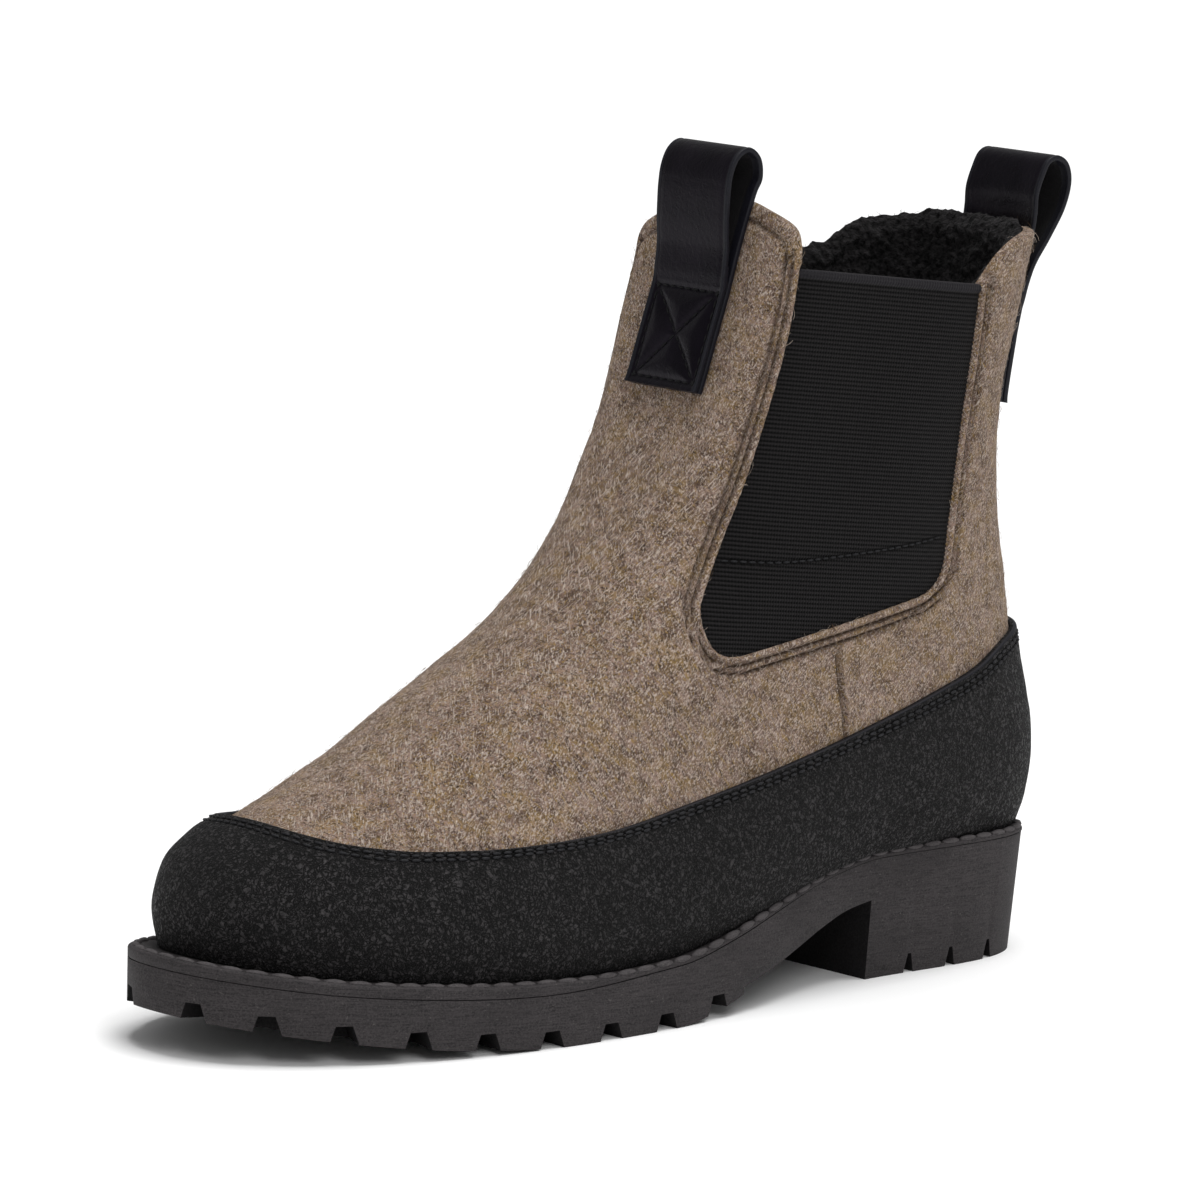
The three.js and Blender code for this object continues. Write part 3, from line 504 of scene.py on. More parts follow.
@dataclass
class Pattern:
    """Cut lines of the upper in side and end view, as points x or y by z."""

    last: Last
    gore_rear: tuple[tuple[float, float], ...] = ((35.37, 175.97), (37.8, 135.36), (42.12, 107.54))
    gore_heel: tuple[tuple[float, float], ...] = ((42.12, 107.54), (43.47, 98.89), (54.0, 97.2))
    gore_toe: tuple[tuple[float, float], ...] = ((115.02, 88.92), (130.41, 86.86), (127.44, 101.71))
    gore_front: tuple[tuple[float, float], ...] = ((127.44, 101.71), (104.49, 141.56), (97.2, 183.86))
    rear_tab: tuple[tuple[float, float], ...] = ((0, 187), (10, 187), (20, 185.8), (28, 182.2), (35.37, 175.97))
    front_tab: dict[Side, tuple[tuple[float, float], ...]] = field(default_factory=lambda: {
        Side.LATERAL: ((31.35, 183.86), (30.2, 190.3), (26.1, 194.8), (14.25, 198.2), (7.6, 199.4), (0, 199.8)),
        Side.MEDIAL: ((31.35, 183.86), (30.2, 187.1), (26.1, 190.8), (14.25, 196.3), (7.6, 199.0), (0, 199.8)),
    })
    rand_line: tuple[tuple[float, float], ...] = (
        (-0.05, 0.466), (0.0, 0.453), (0.057, 0.438), (0.117, 0.409), (0.176, 0.389), (0.283, 0.354), (0.394, 0.321),
        (0.5, 0.293), (0.605, 0.269), (0.685, 0.26), (0.746, 0.257), (0.8, 0.258), (0.85, 0.265), (0.884, 0.277),
        (0.9, 0.31), (0.92, 0.4),
    )
    side_seam: tuple[tuple[float, float], ...] = ((85.7, 92.9), (83.6, 76), (82.2, 60))

    def __post_init__(self) -> None:
        """Makes the curve of the rand's top."""
        x, z = np.array(self.rand_line).T
        self.rand_top = monotone(x * self.last.length, z * self.last.collar_back)

    def gore(self, margin: float = 0.0) -> Array:
        """Gore's edge in side view from its rear top round its foot to its front top."""
        rear, heel, toe, front = (np.array(c) for c in (self.gore_rear, self.gore_heel, self.gore_toe, self.gore_front))
        line = np.vstack([bezier(*rear, 60), bezier(*heel, 24), bezier(*toe, 30), bezier(*front, 70), front[-1:]])
        if margin:
            along = np.gradient(line, axis=0)
            along /= np.linalg.norm(along, axis=1, keepdims=True)
            line = line + margin * np.column_stack([along[:, 1], -along[:, 0]])
        return line

    def gore_uv(self, side: Side, margin: float = 0.0) -> Array:
        """Gore's edge on the felt's face, moved outwards by a margin."""
        return self.last.from_side(resample(self.gore(margin), 220), side)

    def rear_tab_uv(self, side: Side) -> Array:
        """Top of the rear tab from the back centre to the gore."""
        uv = self.last.from_side(catmull(np.array(self.rear_tab, float), 40), side)
        uv[0, 0] = 0.0 if side is Side.LATERAL else 2.0
        return uv

    def front_tab_uv(self, side: Side) -> Array:
        """Side and top of the front tab from the gore to the front centre."""
        line = catmull(np.array(self.front_tab[side], float), 50) * [side.value, 1]
        uv = self.last.from_end(line, End.FRONT)
        uv[-1, 0] = 1.0
        return uv


# Felt upper


@dataclass
class FeltUpper:
    """Shell of wool felt with gore openings, tabs, sewn rows, seams and loose fibres."""

    last: Last
    pattern: Pattern
    wall: float = 3.0
    round_edge: float = 1.1
    fine: float = 2.3
    coarse: float = 7.0
    edge_step: float = 1.15
    rings: tuple[float, ...] = (0.35, 0.8, 1.4, 1.85, 2.3, 2.8, 3.4, 3.9, 4.4, 5.1)
    rows: tuple[float, ...] = (2.2, 4.1)
    row_width: float = 0.6
    row_depth: float = 1.15
    seam_rows: tuple[float, ...] = (-2.2, -1.5, -1.0, -0.55, 0, 0.55, 1.0, 1.5, 2.2)
    heights: tuple[tuple[float, ...], ...] = ((0, 0.25, 1), (0, 75, 180))
    creases: tuple[tuple[float, ...], ...] = (
        (150, 78, 118, 60, 9, 0.9), (139, 96, 128, 92, 7, -0.5), (126, 112, 118, 122, 6, 0.7),
        (204, 66, 196, 54, 9, 0.4), (24, 110, 40, 124, 7, 0.6), (15, 150, 30, 146, 7, 0.4), (60, 84, 78, 78, 6, 0.5),
    )

    def __post_init__(self) -> None:
        """Measures each ring for the flat layout."""
        steps = np.linalg.norm(np.diff(self.last.grid[:, : self.last.steps + 1, :2], axis=1), axis=2)
        self.half = steps.sum(1)
        self.half_at = np.linspace(0, 1, len(self.half))

    def flat(self, uv: Array) -> Array:
        """Layout in millimetres of places on the face, front centre at 0."""
        b = np.interp(uv[:, 1], *self.heights)
        return np.column_stack([(uv[:, 0] - 1) * np.interp(uv[:, 1], self.half_at, self.half), b])

    def unflat(self, ab: Array) -> Array:
        """Places on the face of points of the layout."""
        v = np.interp(ab[:, 1], self.heights[1], self.heights[0])
        return np.column_stack([1 + ab[:, 0] / np.interp(v, self.half_at, self.half), v])

    def edges(self) -> tuple[list[Array], Array]:
        """Boundary of the layout, counter-clockwise, in parts, and the indices of the trimmed parts."""
        pattern = self.pattern
        seam_v = np.interp(np.arange(0, self.flat(pattern.rear_tab_uv(Side.LATERAL)[:1])[0, 1], 2.2),
                           self.heights[1], self.heights[0])
        bottom = np.column_stack([np.linspace(0, 2, 121), np.zeros(121)])
        right = np.column_stack([np.full(len(seam_v), 2.0), seam_v])
        left = np.column_stack([np.zeros(len(seam_v)), seam_v])[::-1]
        trimmed = [
            pattern.rear_tab_uv(Side.MEDIAL), pattern.gore_uv(Side.MEDIAL), pattern.front_tab_uv(Side.MEDIAL),
            pattern.front_tab_uv(Side.LATERAL)[::-1], pattern.gore_uv(Side.LATERAL)[::-1],
            pattern.rear_tab_uv(Side.LATERAL)[::-1],
        ]
        parts = [self.flat(bottom)[:-1], self.flat(right)[:-1]]
        for line in trimmed:
            flat = self.flat(line)
            parts.append(resample(flat, max(3, round(path_length(flat)[-1] / self.edge_step)))[:-1])
        parts[-1] = np.vstack([parts[-1], self.flat(trimmed[-1])[-1:]])
        parts.append(self.flat(left)[1:-1])
        return parts, np.array(range(2, 2 + len(trimmed)))

    def layout(self) -> tuple[Array, list[list[int]], int]:
        """Triangles of the flat layout.

        Returns:
            Points, triangles, and the count of points on the boundary, which come first and in order.
        """
        parts, trimmed = self.edges()
        border = np.vstack(parts)
        trim = np.vstack([parts[k] for k in trimmed])
        ahead = np.roll(border, -1, 0) - np.roll(border, 1, 0)
        inward = np.column_stack([-ahead[:, 1], ahead[:, 0]]) / np.linalg.norm(ahead, axis=1, keepdims=True)
        start = sum(len(parts[k]) for k in range(trimmed[0]))
        inward = inward[start : start + len(trim)]
        inner = []
        for d in self.rings:
            ring = trim + inward * d
            gap = np.sqrt(((ring[:, None] - trim[None]) ** 2).sum(2).min(1))
            inner.append(ring[gap > 0.93 * d])
        low, high = border.min(0), border.max(0)
        for size, is_fine in ((self.fine, True), (self.coarse, False)):
            xs, ys = np.arange(low[0], high[0], size), np.arange(low[1], high[1], size * 0.866)
            grid = np.stack(np.meshgrid(xs, ys), -1)
            grid[1::2, :, 0] += size / 2
            grid = grid.reshape(-1, 2)
            point = self.last.face(self.unflat(grid))
            above = point[:, 2] - self.pattern.rand_top(point[:, 0])
            grid = grid[(above > -6) if is_fine else (above <= -6 - size / 2)]
            gap = np.full(len(grid), np.inf)
            for k in range(0, len(grid), 500):
                gap[k : k + 500] = np.sqrt(((grid[k : k + 500, None] - trim[None]) ** 2).sum(2).min(1))
            grid = grid[gap > self.rings[-1] + 0.6]
            wide = np.interp(np.interp(grid[:, 1], self.heights[1], self.heights[0]), self.half_at, self.half)
            margin = 1.3 if is_fine else 3
            grid = grid[(np.abs(grid[:, 0]) < wide - margin) & (grid[:, 1] > margin)]
            for side in Side:
                seam = self.flat(self.last.from_side(resample(np.array(self.pattern.side_seam), 32), side))
                gap = np.sqrt(((grid[:, None] - seam[None]) ** 2).sum(2).min(1))
                grid = grid[gap > self.seam_rows[-1] + 0.7]
            inner.append(grid)
        for side in Side:
            seam = self.flat(self.last.from_side(resample(np.array(self.pattern.side_seam), 32), side))
            ahead = np.gradient(seam, axis=0)
            across = np.column_stack([-ahead[:, 1], ahead[:, 0]]) / np.linalg.norm(ahead, axis=1, keepdims=True)
            rows = np.vstack([seam + across * d for d in self.seam_rows])
            near = np.sqrt(((rows[:, None] - trim[None]) ** 2).sum(2).min(1))
            inner.append(rows[near > self.rings[-1] + 0.4])
        inner = np.vstack(inner)
        points = np.vstack([border, inner[inside(inner, border)]])
        result = delaunay_2d_cdt([Vector(p) for p in points], [], [list(range(len(border)))], 1, 1e-5, True)
        made, source = np.array([tuple(p) for p in result[0]]), result[3]
        middles = made[np.array(result[2])].mean(1)
        triangles = [t for t, kept in zip(result[2], inside(middles, border)) if kept]
        order = {original: new for new, ids in enumerate(source) for original in ids}
        ring = [order[k] for k in range(len(border))]
        rest = [k for k in range(len(made)) if k not in set(ring)]
        place = np.empty(len(made), int)
        place[ring + rest] = np.arange(len(made))
        return made[ring + rest], [[int(place[k]) for k in t] for t in triangles], len(ring)

    def relief(self, uv: Array, point: Array) -> tuple[Array, Array]:
        """Height of the outer face over the plain form, and a mask of the sewn lines that the felt's finish darkens as
        painted shade.
        """
        pattern, last = self.pattern, self.last
        gores = np.full(len(point), np.inf)
        for side in Side:
            gores = np.minimum(gores, distance(point, last.face(pattern.gore_uv(side))))
        tabs = np.full(len(point), np.inf)
        for side in Side:
            tabs = np.minimum(tabs, distance(point, last.face(pattern.front_tab_uv(side))))
        rear = np.full(len(point), np.inf)
        for side in Side:
            rear = np.minimum(rear, distance(point, last.face(pattern.rear_tab_uv(side))))
        edge = np.minimum(np.minimum(gores, tabs), rear)
        r = self.round_edge
        off = -r + np.sqrt(np.clip(r * r - np.clip(r - edge, 0, r) ** 2, 0, None))
        groove_and_shade = np.zeros(len(point))
        for row in self.rows:
            sewn = np.exp(-(((gores - row) / self.row_width) ** 2)) * (tabs > 2)
            off -= self.row_depth * sewn
            groove_and_shade = np.maximum(groove_and_shade, sewn)
        sewn = np.exp(-(((tabs - 4.4) / self.row_width) ** 2)) * (gores > 4)
        off -= 0.8 * self.row_depth * sewn
        groove_and_shade = np.maximum(groove_and_shade, 0.8 * sewn)
        off += 0.25 * np.exp(-(((gores - 3.1) / 0.6) ** 2)) * (tabs > 2)
        for side in Side:
            seam = last.face(last.from_side(resample(np.array(pattern.side_seam), 32), side))
            gap = distance(point, seam)
            below = np.clip((gores - 4.3) / 1.2, 0, 1)
            off -= below * (1.25 * np.exp(-((gap / 0.55) ** 2)) - 0.4 * np.exp(-(((gap - 1.6) / 0.8) ** 2)))
            groove_and_shade = np.maximum(groove_and_shade, below * np.exp(-((gap / 0.7) ** 2)))
        back = np.minimum(uv[:, 0], 2 - uv[:, 0]) * np.interp(uv[:, 1], self.half_at, self.half)
        off -= 0.7 * np.exp(-((back / 0.6) ** 2)) - 0.25 * np.exp(-(((back - 1.8) / 1.1) ** 2))
        groove_and_shade = np.maximum(groove_and_shade, np.exp(-((back / 0.7) ** 2)))
        soft = np.clip((edge - 3) / 10, 0, 1)
        off += soft * (0.22 * waves(point, 26, 3) + 0.1 * waves(point, 9, 4)) + 0.05 * waves(point, 4.5, 5)
        for x0, z0, x1, z1, width, depth in self.creases:
            a, b = np.array([x0, z0]), np.array([x1, z1])
            t = np.clip(((point[:, [0, 2]] - a) @ (b - a)) / ((b - a) @ (b - a)), 0, 1)
            gap = np.linalg.norm(point[:, [0, 2]] - (a + t[:, None] * (b - a)), axis=1)
            off -= soft * depth * np.exp(-((gap / width) ** 2) * 1.4)
        return off, groove_and_shade

    def tab_row(self, side: Side, depth: float) -> Array:
        """Line a distance inside the front tab's edge."""
        line = self.flat(self.pattern.front_tab_uv(side))
        ahead = np.gradient(line, axis=0)
        ahead /= np.linalg.norm(ahead, axis=1, keepdims=True)
        inward = np.column_stack([-ahead[:, 1], ahead[:, 0]]) * -side.value
        return self.unflat((line + inward * depth)[6:])

    def seams(self) -> list[tuple[Array, Array]]:
        """Lines of stitches round the gores, inside the front tab and down the side seams."""
        last, lines = self.last, []
        for side in Side:
            places = [(self.pattern.gore_uv(side, row), -0.85) for row in self.rows]
            places.append((self.tab_row(side, 4.4), -0.6))
            seam = last.from_side(resample(np.array(self.pattern.side_seam), 60), side)
            places.append((seam, -1.0))
            lines += [(last.face(uv, off), last.normal(uv)) for uv, off in places]
        return lines

    def build(self) -> bpy.types.Object:
        """Makes the shell."""
        flat, triangles, border = self.layout()
        uv = self.unflat(flat)
        uv[:, 0] = np.clip(uv[:, 0], 0, 2)
        uv[:, 1] = np.clip(uv[:, 1], 0, 1)
        face = self.last.face(uv)
        off, groove_and_shade = self.relief(uv, face)
        outer = self.last.face(uv, off)
        inner = self.last.face(uv, -self.wall)
        count = len(uv)
        faces = [list(t) for t in triangles] + [[k + count for k in reversed(t)] for t in triangles]
        on_seam = (uv[:border, 0] < 1e-6) | (uv[:border, 0] > 2 - 1e-6)
        for i in range(border):
            j = (i + 1) % border
            if not (on_seam[i] and on_seam[j]):
                faces.append([j, i, i + count, j + count])
        shell = mesh_object("felt_upper", np.vstack([outer, inner]), faces, self.last)
        high = face[:, 2] - self.pattern.rand_top(face[:, 0]) > 0.5
        marked = np.concatenate([high.astype(float), np.zeros(count)])
        shell.data.attributes.new("outer", "FLOAT", "POINT").data.foreach_set("value", marked)
        # Mask of the sewn lines, which the felt's finish darkens as painted shade
        groove_and_shade = np.concatenate([groove_and_shade, np.zeros(count)])
        shell.data.attributes.new("groove_and_shade", "FLOAT", "POINT").data.foreach_set("value", groove_and_shade)
        tidy_normals(shell, 0.02)
        smooth(shell, 50)
        return shell


# Leather rand


@dataclass
class Rand:
    """Band of pebbled leather round the foot, its top edge rounded and sewn twice."""

    last: Last
    pattern: Pattern
    clear: float = 0.3
    thick: float = 1.7
    round_edge: float = 0.8
    columns: int = 420
    near_top: tuple[float, ...] = (0, 0.12, 0.3, 0.55, 0.9, 1.3, 1.8, 2.15, 2.5, 2.9, 3.4, 3.85, 4.2, 4.6, 5.2, 6)
    rows: tuple[float, ...] = (2.3, 4.1)
    row_depth: float = 0.55
    below: int = 24

    def build(self) -> bpy.types.Object:
        """Makes the band."""
        last = self.last
        u = np.linspace(0, 2, self.columns, endpoint=False)
        v = np.linspace(0, 0.6, 500)
        uv = np.stack(np.meshgrid(u, v, indexing="ij"), -1)
        point = last.face(uv.reshape(-1, 2)).reshape(*uv.shape[:2], 3)
        height = point[..., 2] - self.pattern.rand_top(point[..., 0])
        first = np.argmax(height > 0, axis=1)
        rows = []
        for i in range(self.columns):
            k = first[i]
            share = -height[i, k - 1] / (height[i, k] - height[i, k - 1])
            top = v[k - 1] + share * (v[k] - v[k - 1])
            run = path_length(point[i, : k + 1])
            total = np.interp(top, v[: k + 1], run)
            down = np.concatenate([self.near_top, np.linspace(self.near_top[-1], total, self.below + 1)[1:]])
            rows.append(np.interp(total - down, run, v[: k + 1]))
        v_rows = np.array(rows).T
        down_rows = np.concatenate([self.near_top, np.full(self.below, 99.0)])
        places = np.stack([np.broadcast_to(u, v_rows.shape), v_rows], -1)
        flat = places.reshape(-1, 2)
        face = last.face(flat)
        r = self.round_edge
        off = -r + np.sqrt(np.clip(r * r - np.clip(r - down_rows, 0, r) ** 2, 0, None))
        for row in self.rows:
            off = off - self.row_depth * np.exp(-(((down_rows - row) / 0.42) ** 2))
        off = np.repeat(off, self.columns) + 0.1 * waves(face, 17, 11) + 0.05 * waves(face, 6, 12)
        outer = last.face(flat, self.clear + self.thick + off).reshape(*v_rows.shape, 3)
        inner = last.face(flat, np.full(len(flat), self.clear)).reshape(*v_rows.shape, 3)
        low = last.welt_top(outer[-1, :, 0])
        outer[-1, :, 2] = low
        inner[-1, :, 2] = low
        points, faces = slab(outer, inner, True)
        band = mesh_object("leather_rand", points, faces, last)
        painted = np.zeros(len(faces), np.int32)
        painted[: 3 * self.columns] = 1
        band.data.polygons.foreach_set("material_index", painted)
        tidy_normals(band)
        smooth(band, 60)
        return band

    def line(self, down: float, off: float, count: int = 900) -> tuple[Array, Array]:
        """Closed line on the band's face a distance below its top edge.

        Args:
            down: Distance from the edge.
            off: Height over the band's face.
            count: Number of points.

        Returns:
            Points and outward directions.
        """
        last = self.last
        u = np.linspace(0, 2, count)
        v = np.linspace(0, 0.6, 500)
        found = np.empty(count)
        for i in range(count):
            point = last.face(np.column_stack([np.full(len(v), u[i]), v]))
            height = point[:, 2] - self.pattern.rand_top(point[:, 0])
            k = int(np.argmax(height > 0))
            run = path_length(point[: k + 1])
            top = np.interp(-height[k - 1] / (height[k] - height[k - 1]), [0, 1], run[k - 1 : k + 1])
            found[i] = np.interp(top - down, run, v[: k + 1])
        uv = np.column_stack([u, found])
        return last.face(uv, self.clear + self.thick + off), last.normal(uv)


# Elastic gores


@dataclass
class Gore:
    """Panel of ribbed elastic sewn in behind the felt, with a rolled hem on top."""

    last: Last
    pattern: Pattern
    recess: float = 1.2
    thick: float = 1.7
    under: float = 0.7
    row_step: float = 0.275
    rib_pitch: float = 1.1
    rib_height: float = 0.19
    hem: float = 2.2
    hem_height: float = 0.75
    columns: int = 44
    seam_knots: tuple[tuple[float, float], ...] = (
        (46.2, 111.8), (57.2, 111.1), (75.4, 110.7), (100.4, 110.7), (119.0, 112.3))

    def build(self, side: Side) -> bpy.types.Object:
        """Makes the panel of one side."""
        line = self.pattern.gore(self.under)
        line = np.vstack([line, line[:1]])
        direction = line[-2] - line[0]
        direction /= np.linalg.norm(direction)
        up = np.array([-direction[1], direction[0]])
        along, height = (line - line[0]) @ direction, (line - line[0]) @ up
        rows = np.arange(height.min() + 0.02, -0.01, self.row_step)
        grid = []
        for h in rows:
            crossing = np.flatnonzero((height[:-1] - h) * (height[1:] - h) <= 0)
            share = (h - height[crossing]) / (height[crossing + 1] - height[crossing] + 1e-12)
            at = along[crossing] + share * (along[crossing + 1] - along[crossing])
            s = np.linspace(at.min(), at.max(), self.columns)
            grid.append(line[0] + s[:, None] * direction + h * up)
        xz = np.array(grid)
        uv = self.last.from_side(xz.reshape(-1, 2), side)
        face = self.last.face(uv)
        h = np.repeat(rows, self.columns)
        off = self.rib_height * np.cos(2 * math.pi * h / self.rib_pitch)
        rolled = np.clip(1 - np.abs(h + self.hem / 2) / (self.hem / 2), 0, 1)
        off = np.where(h > -self.hem, self.hem_height * np.sqrt(1 - (1 - rolled) ** 2) - 0.1, off)
        off = off + 0.12 * waves(face, 30, 21)
        ends = np.tile(np.clip(np.minimum(np.arange(self.columns), np.arange(self.columns)[::-1]) / 3, 0, 1),
                       len(rows))
        off = off - 0.35 * (1 - ends)
        # Groove of the seam across the panel's foot: a real dent, and a mask that the finish darkens as painted shade
        groove_and_shade = np.exp(-((distance(xz.reshape(-1, 2), catmull(np.array(self.seam_knots), 160)) / 0.55) ** 2))
        off = off - 0.5 * groove_and_shade
        outer = self.last.face(uv, off - self.recess).reshape(len(rows), self.columns, 3)
        inner = self.last.face(uv, np.full(len(uv), -self.recess - self.thick)).reshape(outer.shape)
        points, faces = slab(outer, inner)
        panel = mesh_object(f"elastic_gore_{side.name.lower()}", points, faces, self.last)
        flat = np.tile(np.column_stack([(xz.reshape(-1, 2) - line[0]) @ direction, h]), (2, 1))
        set_uv(panel, flat)
        panel.data.attributes.new("groove_and_shade", "FLOAT", "POINT").data.foreach_set("value", np.tile(groove_and_shade, 2))
        tidy_normals(panel)
        smooth(panel, 70)
        return panel

    def seam(self, side: Side) -> tuple[Array, Array]:
        """Curved line of stitches across the panel's foot."""
        uv = self.last.from_side(catmull(np.array(self.seam_knots), 160), side)
        return self.last.face(uv, -self.recess + 0.05), self.last.normal(uv)


# Fleece lining and footbed


@dataclass
class Lining:
    """Shell of clumped fleece inside the upper, standing over the gores' top edges."""

    last: Last
    pattern: Pattern
    clear: float = 3.05
    thick: float = 3.6
    low: float = 0.045
    columns: int = 350
    rows: int = 130
    tops: dict[Side, tuple[tuple[float, float], ...]] = field(default_factory=lambda: {
        Side.LATERAL: ((7, 188.4), (9, 187.4), (12, 186.2), (20, 184), (28, 180.5), (35, 175.4), (60, 178.2),
                       (88, 181.8), (95, 184), (99, 189)),
        Side.MEDIAL: ((7, 188.4), (9, 188.6), (12.5, 187.6), (18, 186.9), (26, 186.6), (29.5, 185.8), (32.5, 183),
                      (36, 180.4), (54, 180.2), (75, 181.6), (88, 182.6), (95, 184), (99, 189)),
    })

    def top(self, u: Array) -> Array:
        """Height of the lining's edge at places around."""
        last = self.last
        x = last.sample(last.grid, np.column_stack([u, np.full(len(u), 0.9)]))[:, 0]
        heights = [np.interp(x, *np.array(self.tops[side]).T) for side in Side]
        return np.where(u <= 1, *heights)

    def build(self) -> bpy.types.Object:
        """Makes the shell."""
        last = self.last
        u = np.linspace(0, 2, self.columns, endpoint=False)
        v = np.linspace(self.low, 1, 500)
        top = self.top(u)
        v_top, over = np.empty(len(u)), np.zeros(len(u))
        for i in range(len(u)):
            z = last.face(np.column_stack([np.full(len(v), u[i]), v]))[:, 2]
            v_top[i] = np.interp(top[i], z, v)
            over[i] = max(0.0, top[i] - z[-1])
        t = 1 - (1 - np.linspace(0, 1, self.rows)) ** 1.6
        v_rows = self.low + (v_top - self.low) * t[:, None]
        uv = np.stack([np.broadcast_to(u, v_rows.shape), v_rows], -1).reshape(-1, 2)
        face = last.face(uv)
        clump = waves(face, 9, 31) * 0.3 + waves(face, 3.6, 32) * 0.35 + waves(face, 2.0, 33) * 0.3
        clump = np.abs(clump) * 1.2 - 0.4
        near_top = np.repeat(np.clip((1 - t) * 30, 0, 1) ** 0.5, self.columns)
        outer = last.face(uv, np.full(len(uv), -self.clear) - 0.5 * (1 - near_top))
        inner = last.face(uv, -self.clear - 0.4 - near_top * self.thick - clump * 1.25)
        shape = (self.rows, self.columns, 3)
        points, faces = slab(outer.reshape(shape), inner.reshape(shape), True)
        count = self.rows * self.columns
        edge = np.zeros(len(points))
        edge[:count] = edge[count:] = (1 - near_top)
        points[:, 2] += edge * (0.45 * waves(points, 5, 34) + 0.3 * waves(points, 2.3, 35))
        points[:, 2] += np.tile(np.repeat(t**6, self.columns) * np.tile(over, self.rows), 2)
        shell = mesh_object("fleece_lining", points, faces, last)
        shell.data.attributes.new("outer", "FLOAT", "POINT").data.foreach_set("value", np.clip(edge * 3, 0, 1))
        tidy_normals(shell)
        smooth(shell)
        return shell


@dataclass
class Footbed:
    """Fleece-covered insole that lies on the welt's plane inside the upper."""

    last: Last
    clear: float = 0.3
    wall: float = 3.0
    thick: float = 3.5
    around: int = 150
    across: int = 36

    def build(self) -> bpy.types.Object:
        """Makes the footbed."""
        last = self.last
        u = np.linspace(0, 1, self.around)
        v = np.full(self.around, 0.01)
        lateral = last.face(np.column_stack([u, v]), np.full(self.around, -self.wall - self.clear))
        medial = last.face(np.column_stack([2 - u, v]), np.full(self.around, -self.wall - self.clear))
        s = np.linspace(0, 1, self.across)
        s = 0.5 - 0.5 * np.cos(math.pi * s)
        plan = lateral[None, :, :2] * (1 - s)[:, None, None] + medial[None, :, :2] * s[:, None, None]
        z = last.welt_top(plan[..., 0])
        low = np.concatenate([plan, z[..., None] + 0.02], -1)
        flat = low.reshape(-1, 3)
        clump = (0.3 * np.abs(waves(flat, 8, 41)) + 0.25 * np.abs(waves(flat, 3.6, 42))).reshape(z.shape)
        edge = np.minimum(np.minimum(s, 1 - s)[:, None] * 8, 1) * np.ones_like(z)
        high = low.copy()
        high[..., 2] += self.thick - 0.9 + clump - 0.8 * (1 - edge)
        points, faces = slab(high, low)
        bed = mesh_object("fleece_footbed", points, faces, last)
        tidy_normals(bed, 0.01)
        smooth(bed, 60)
        return bed


# Pull loops


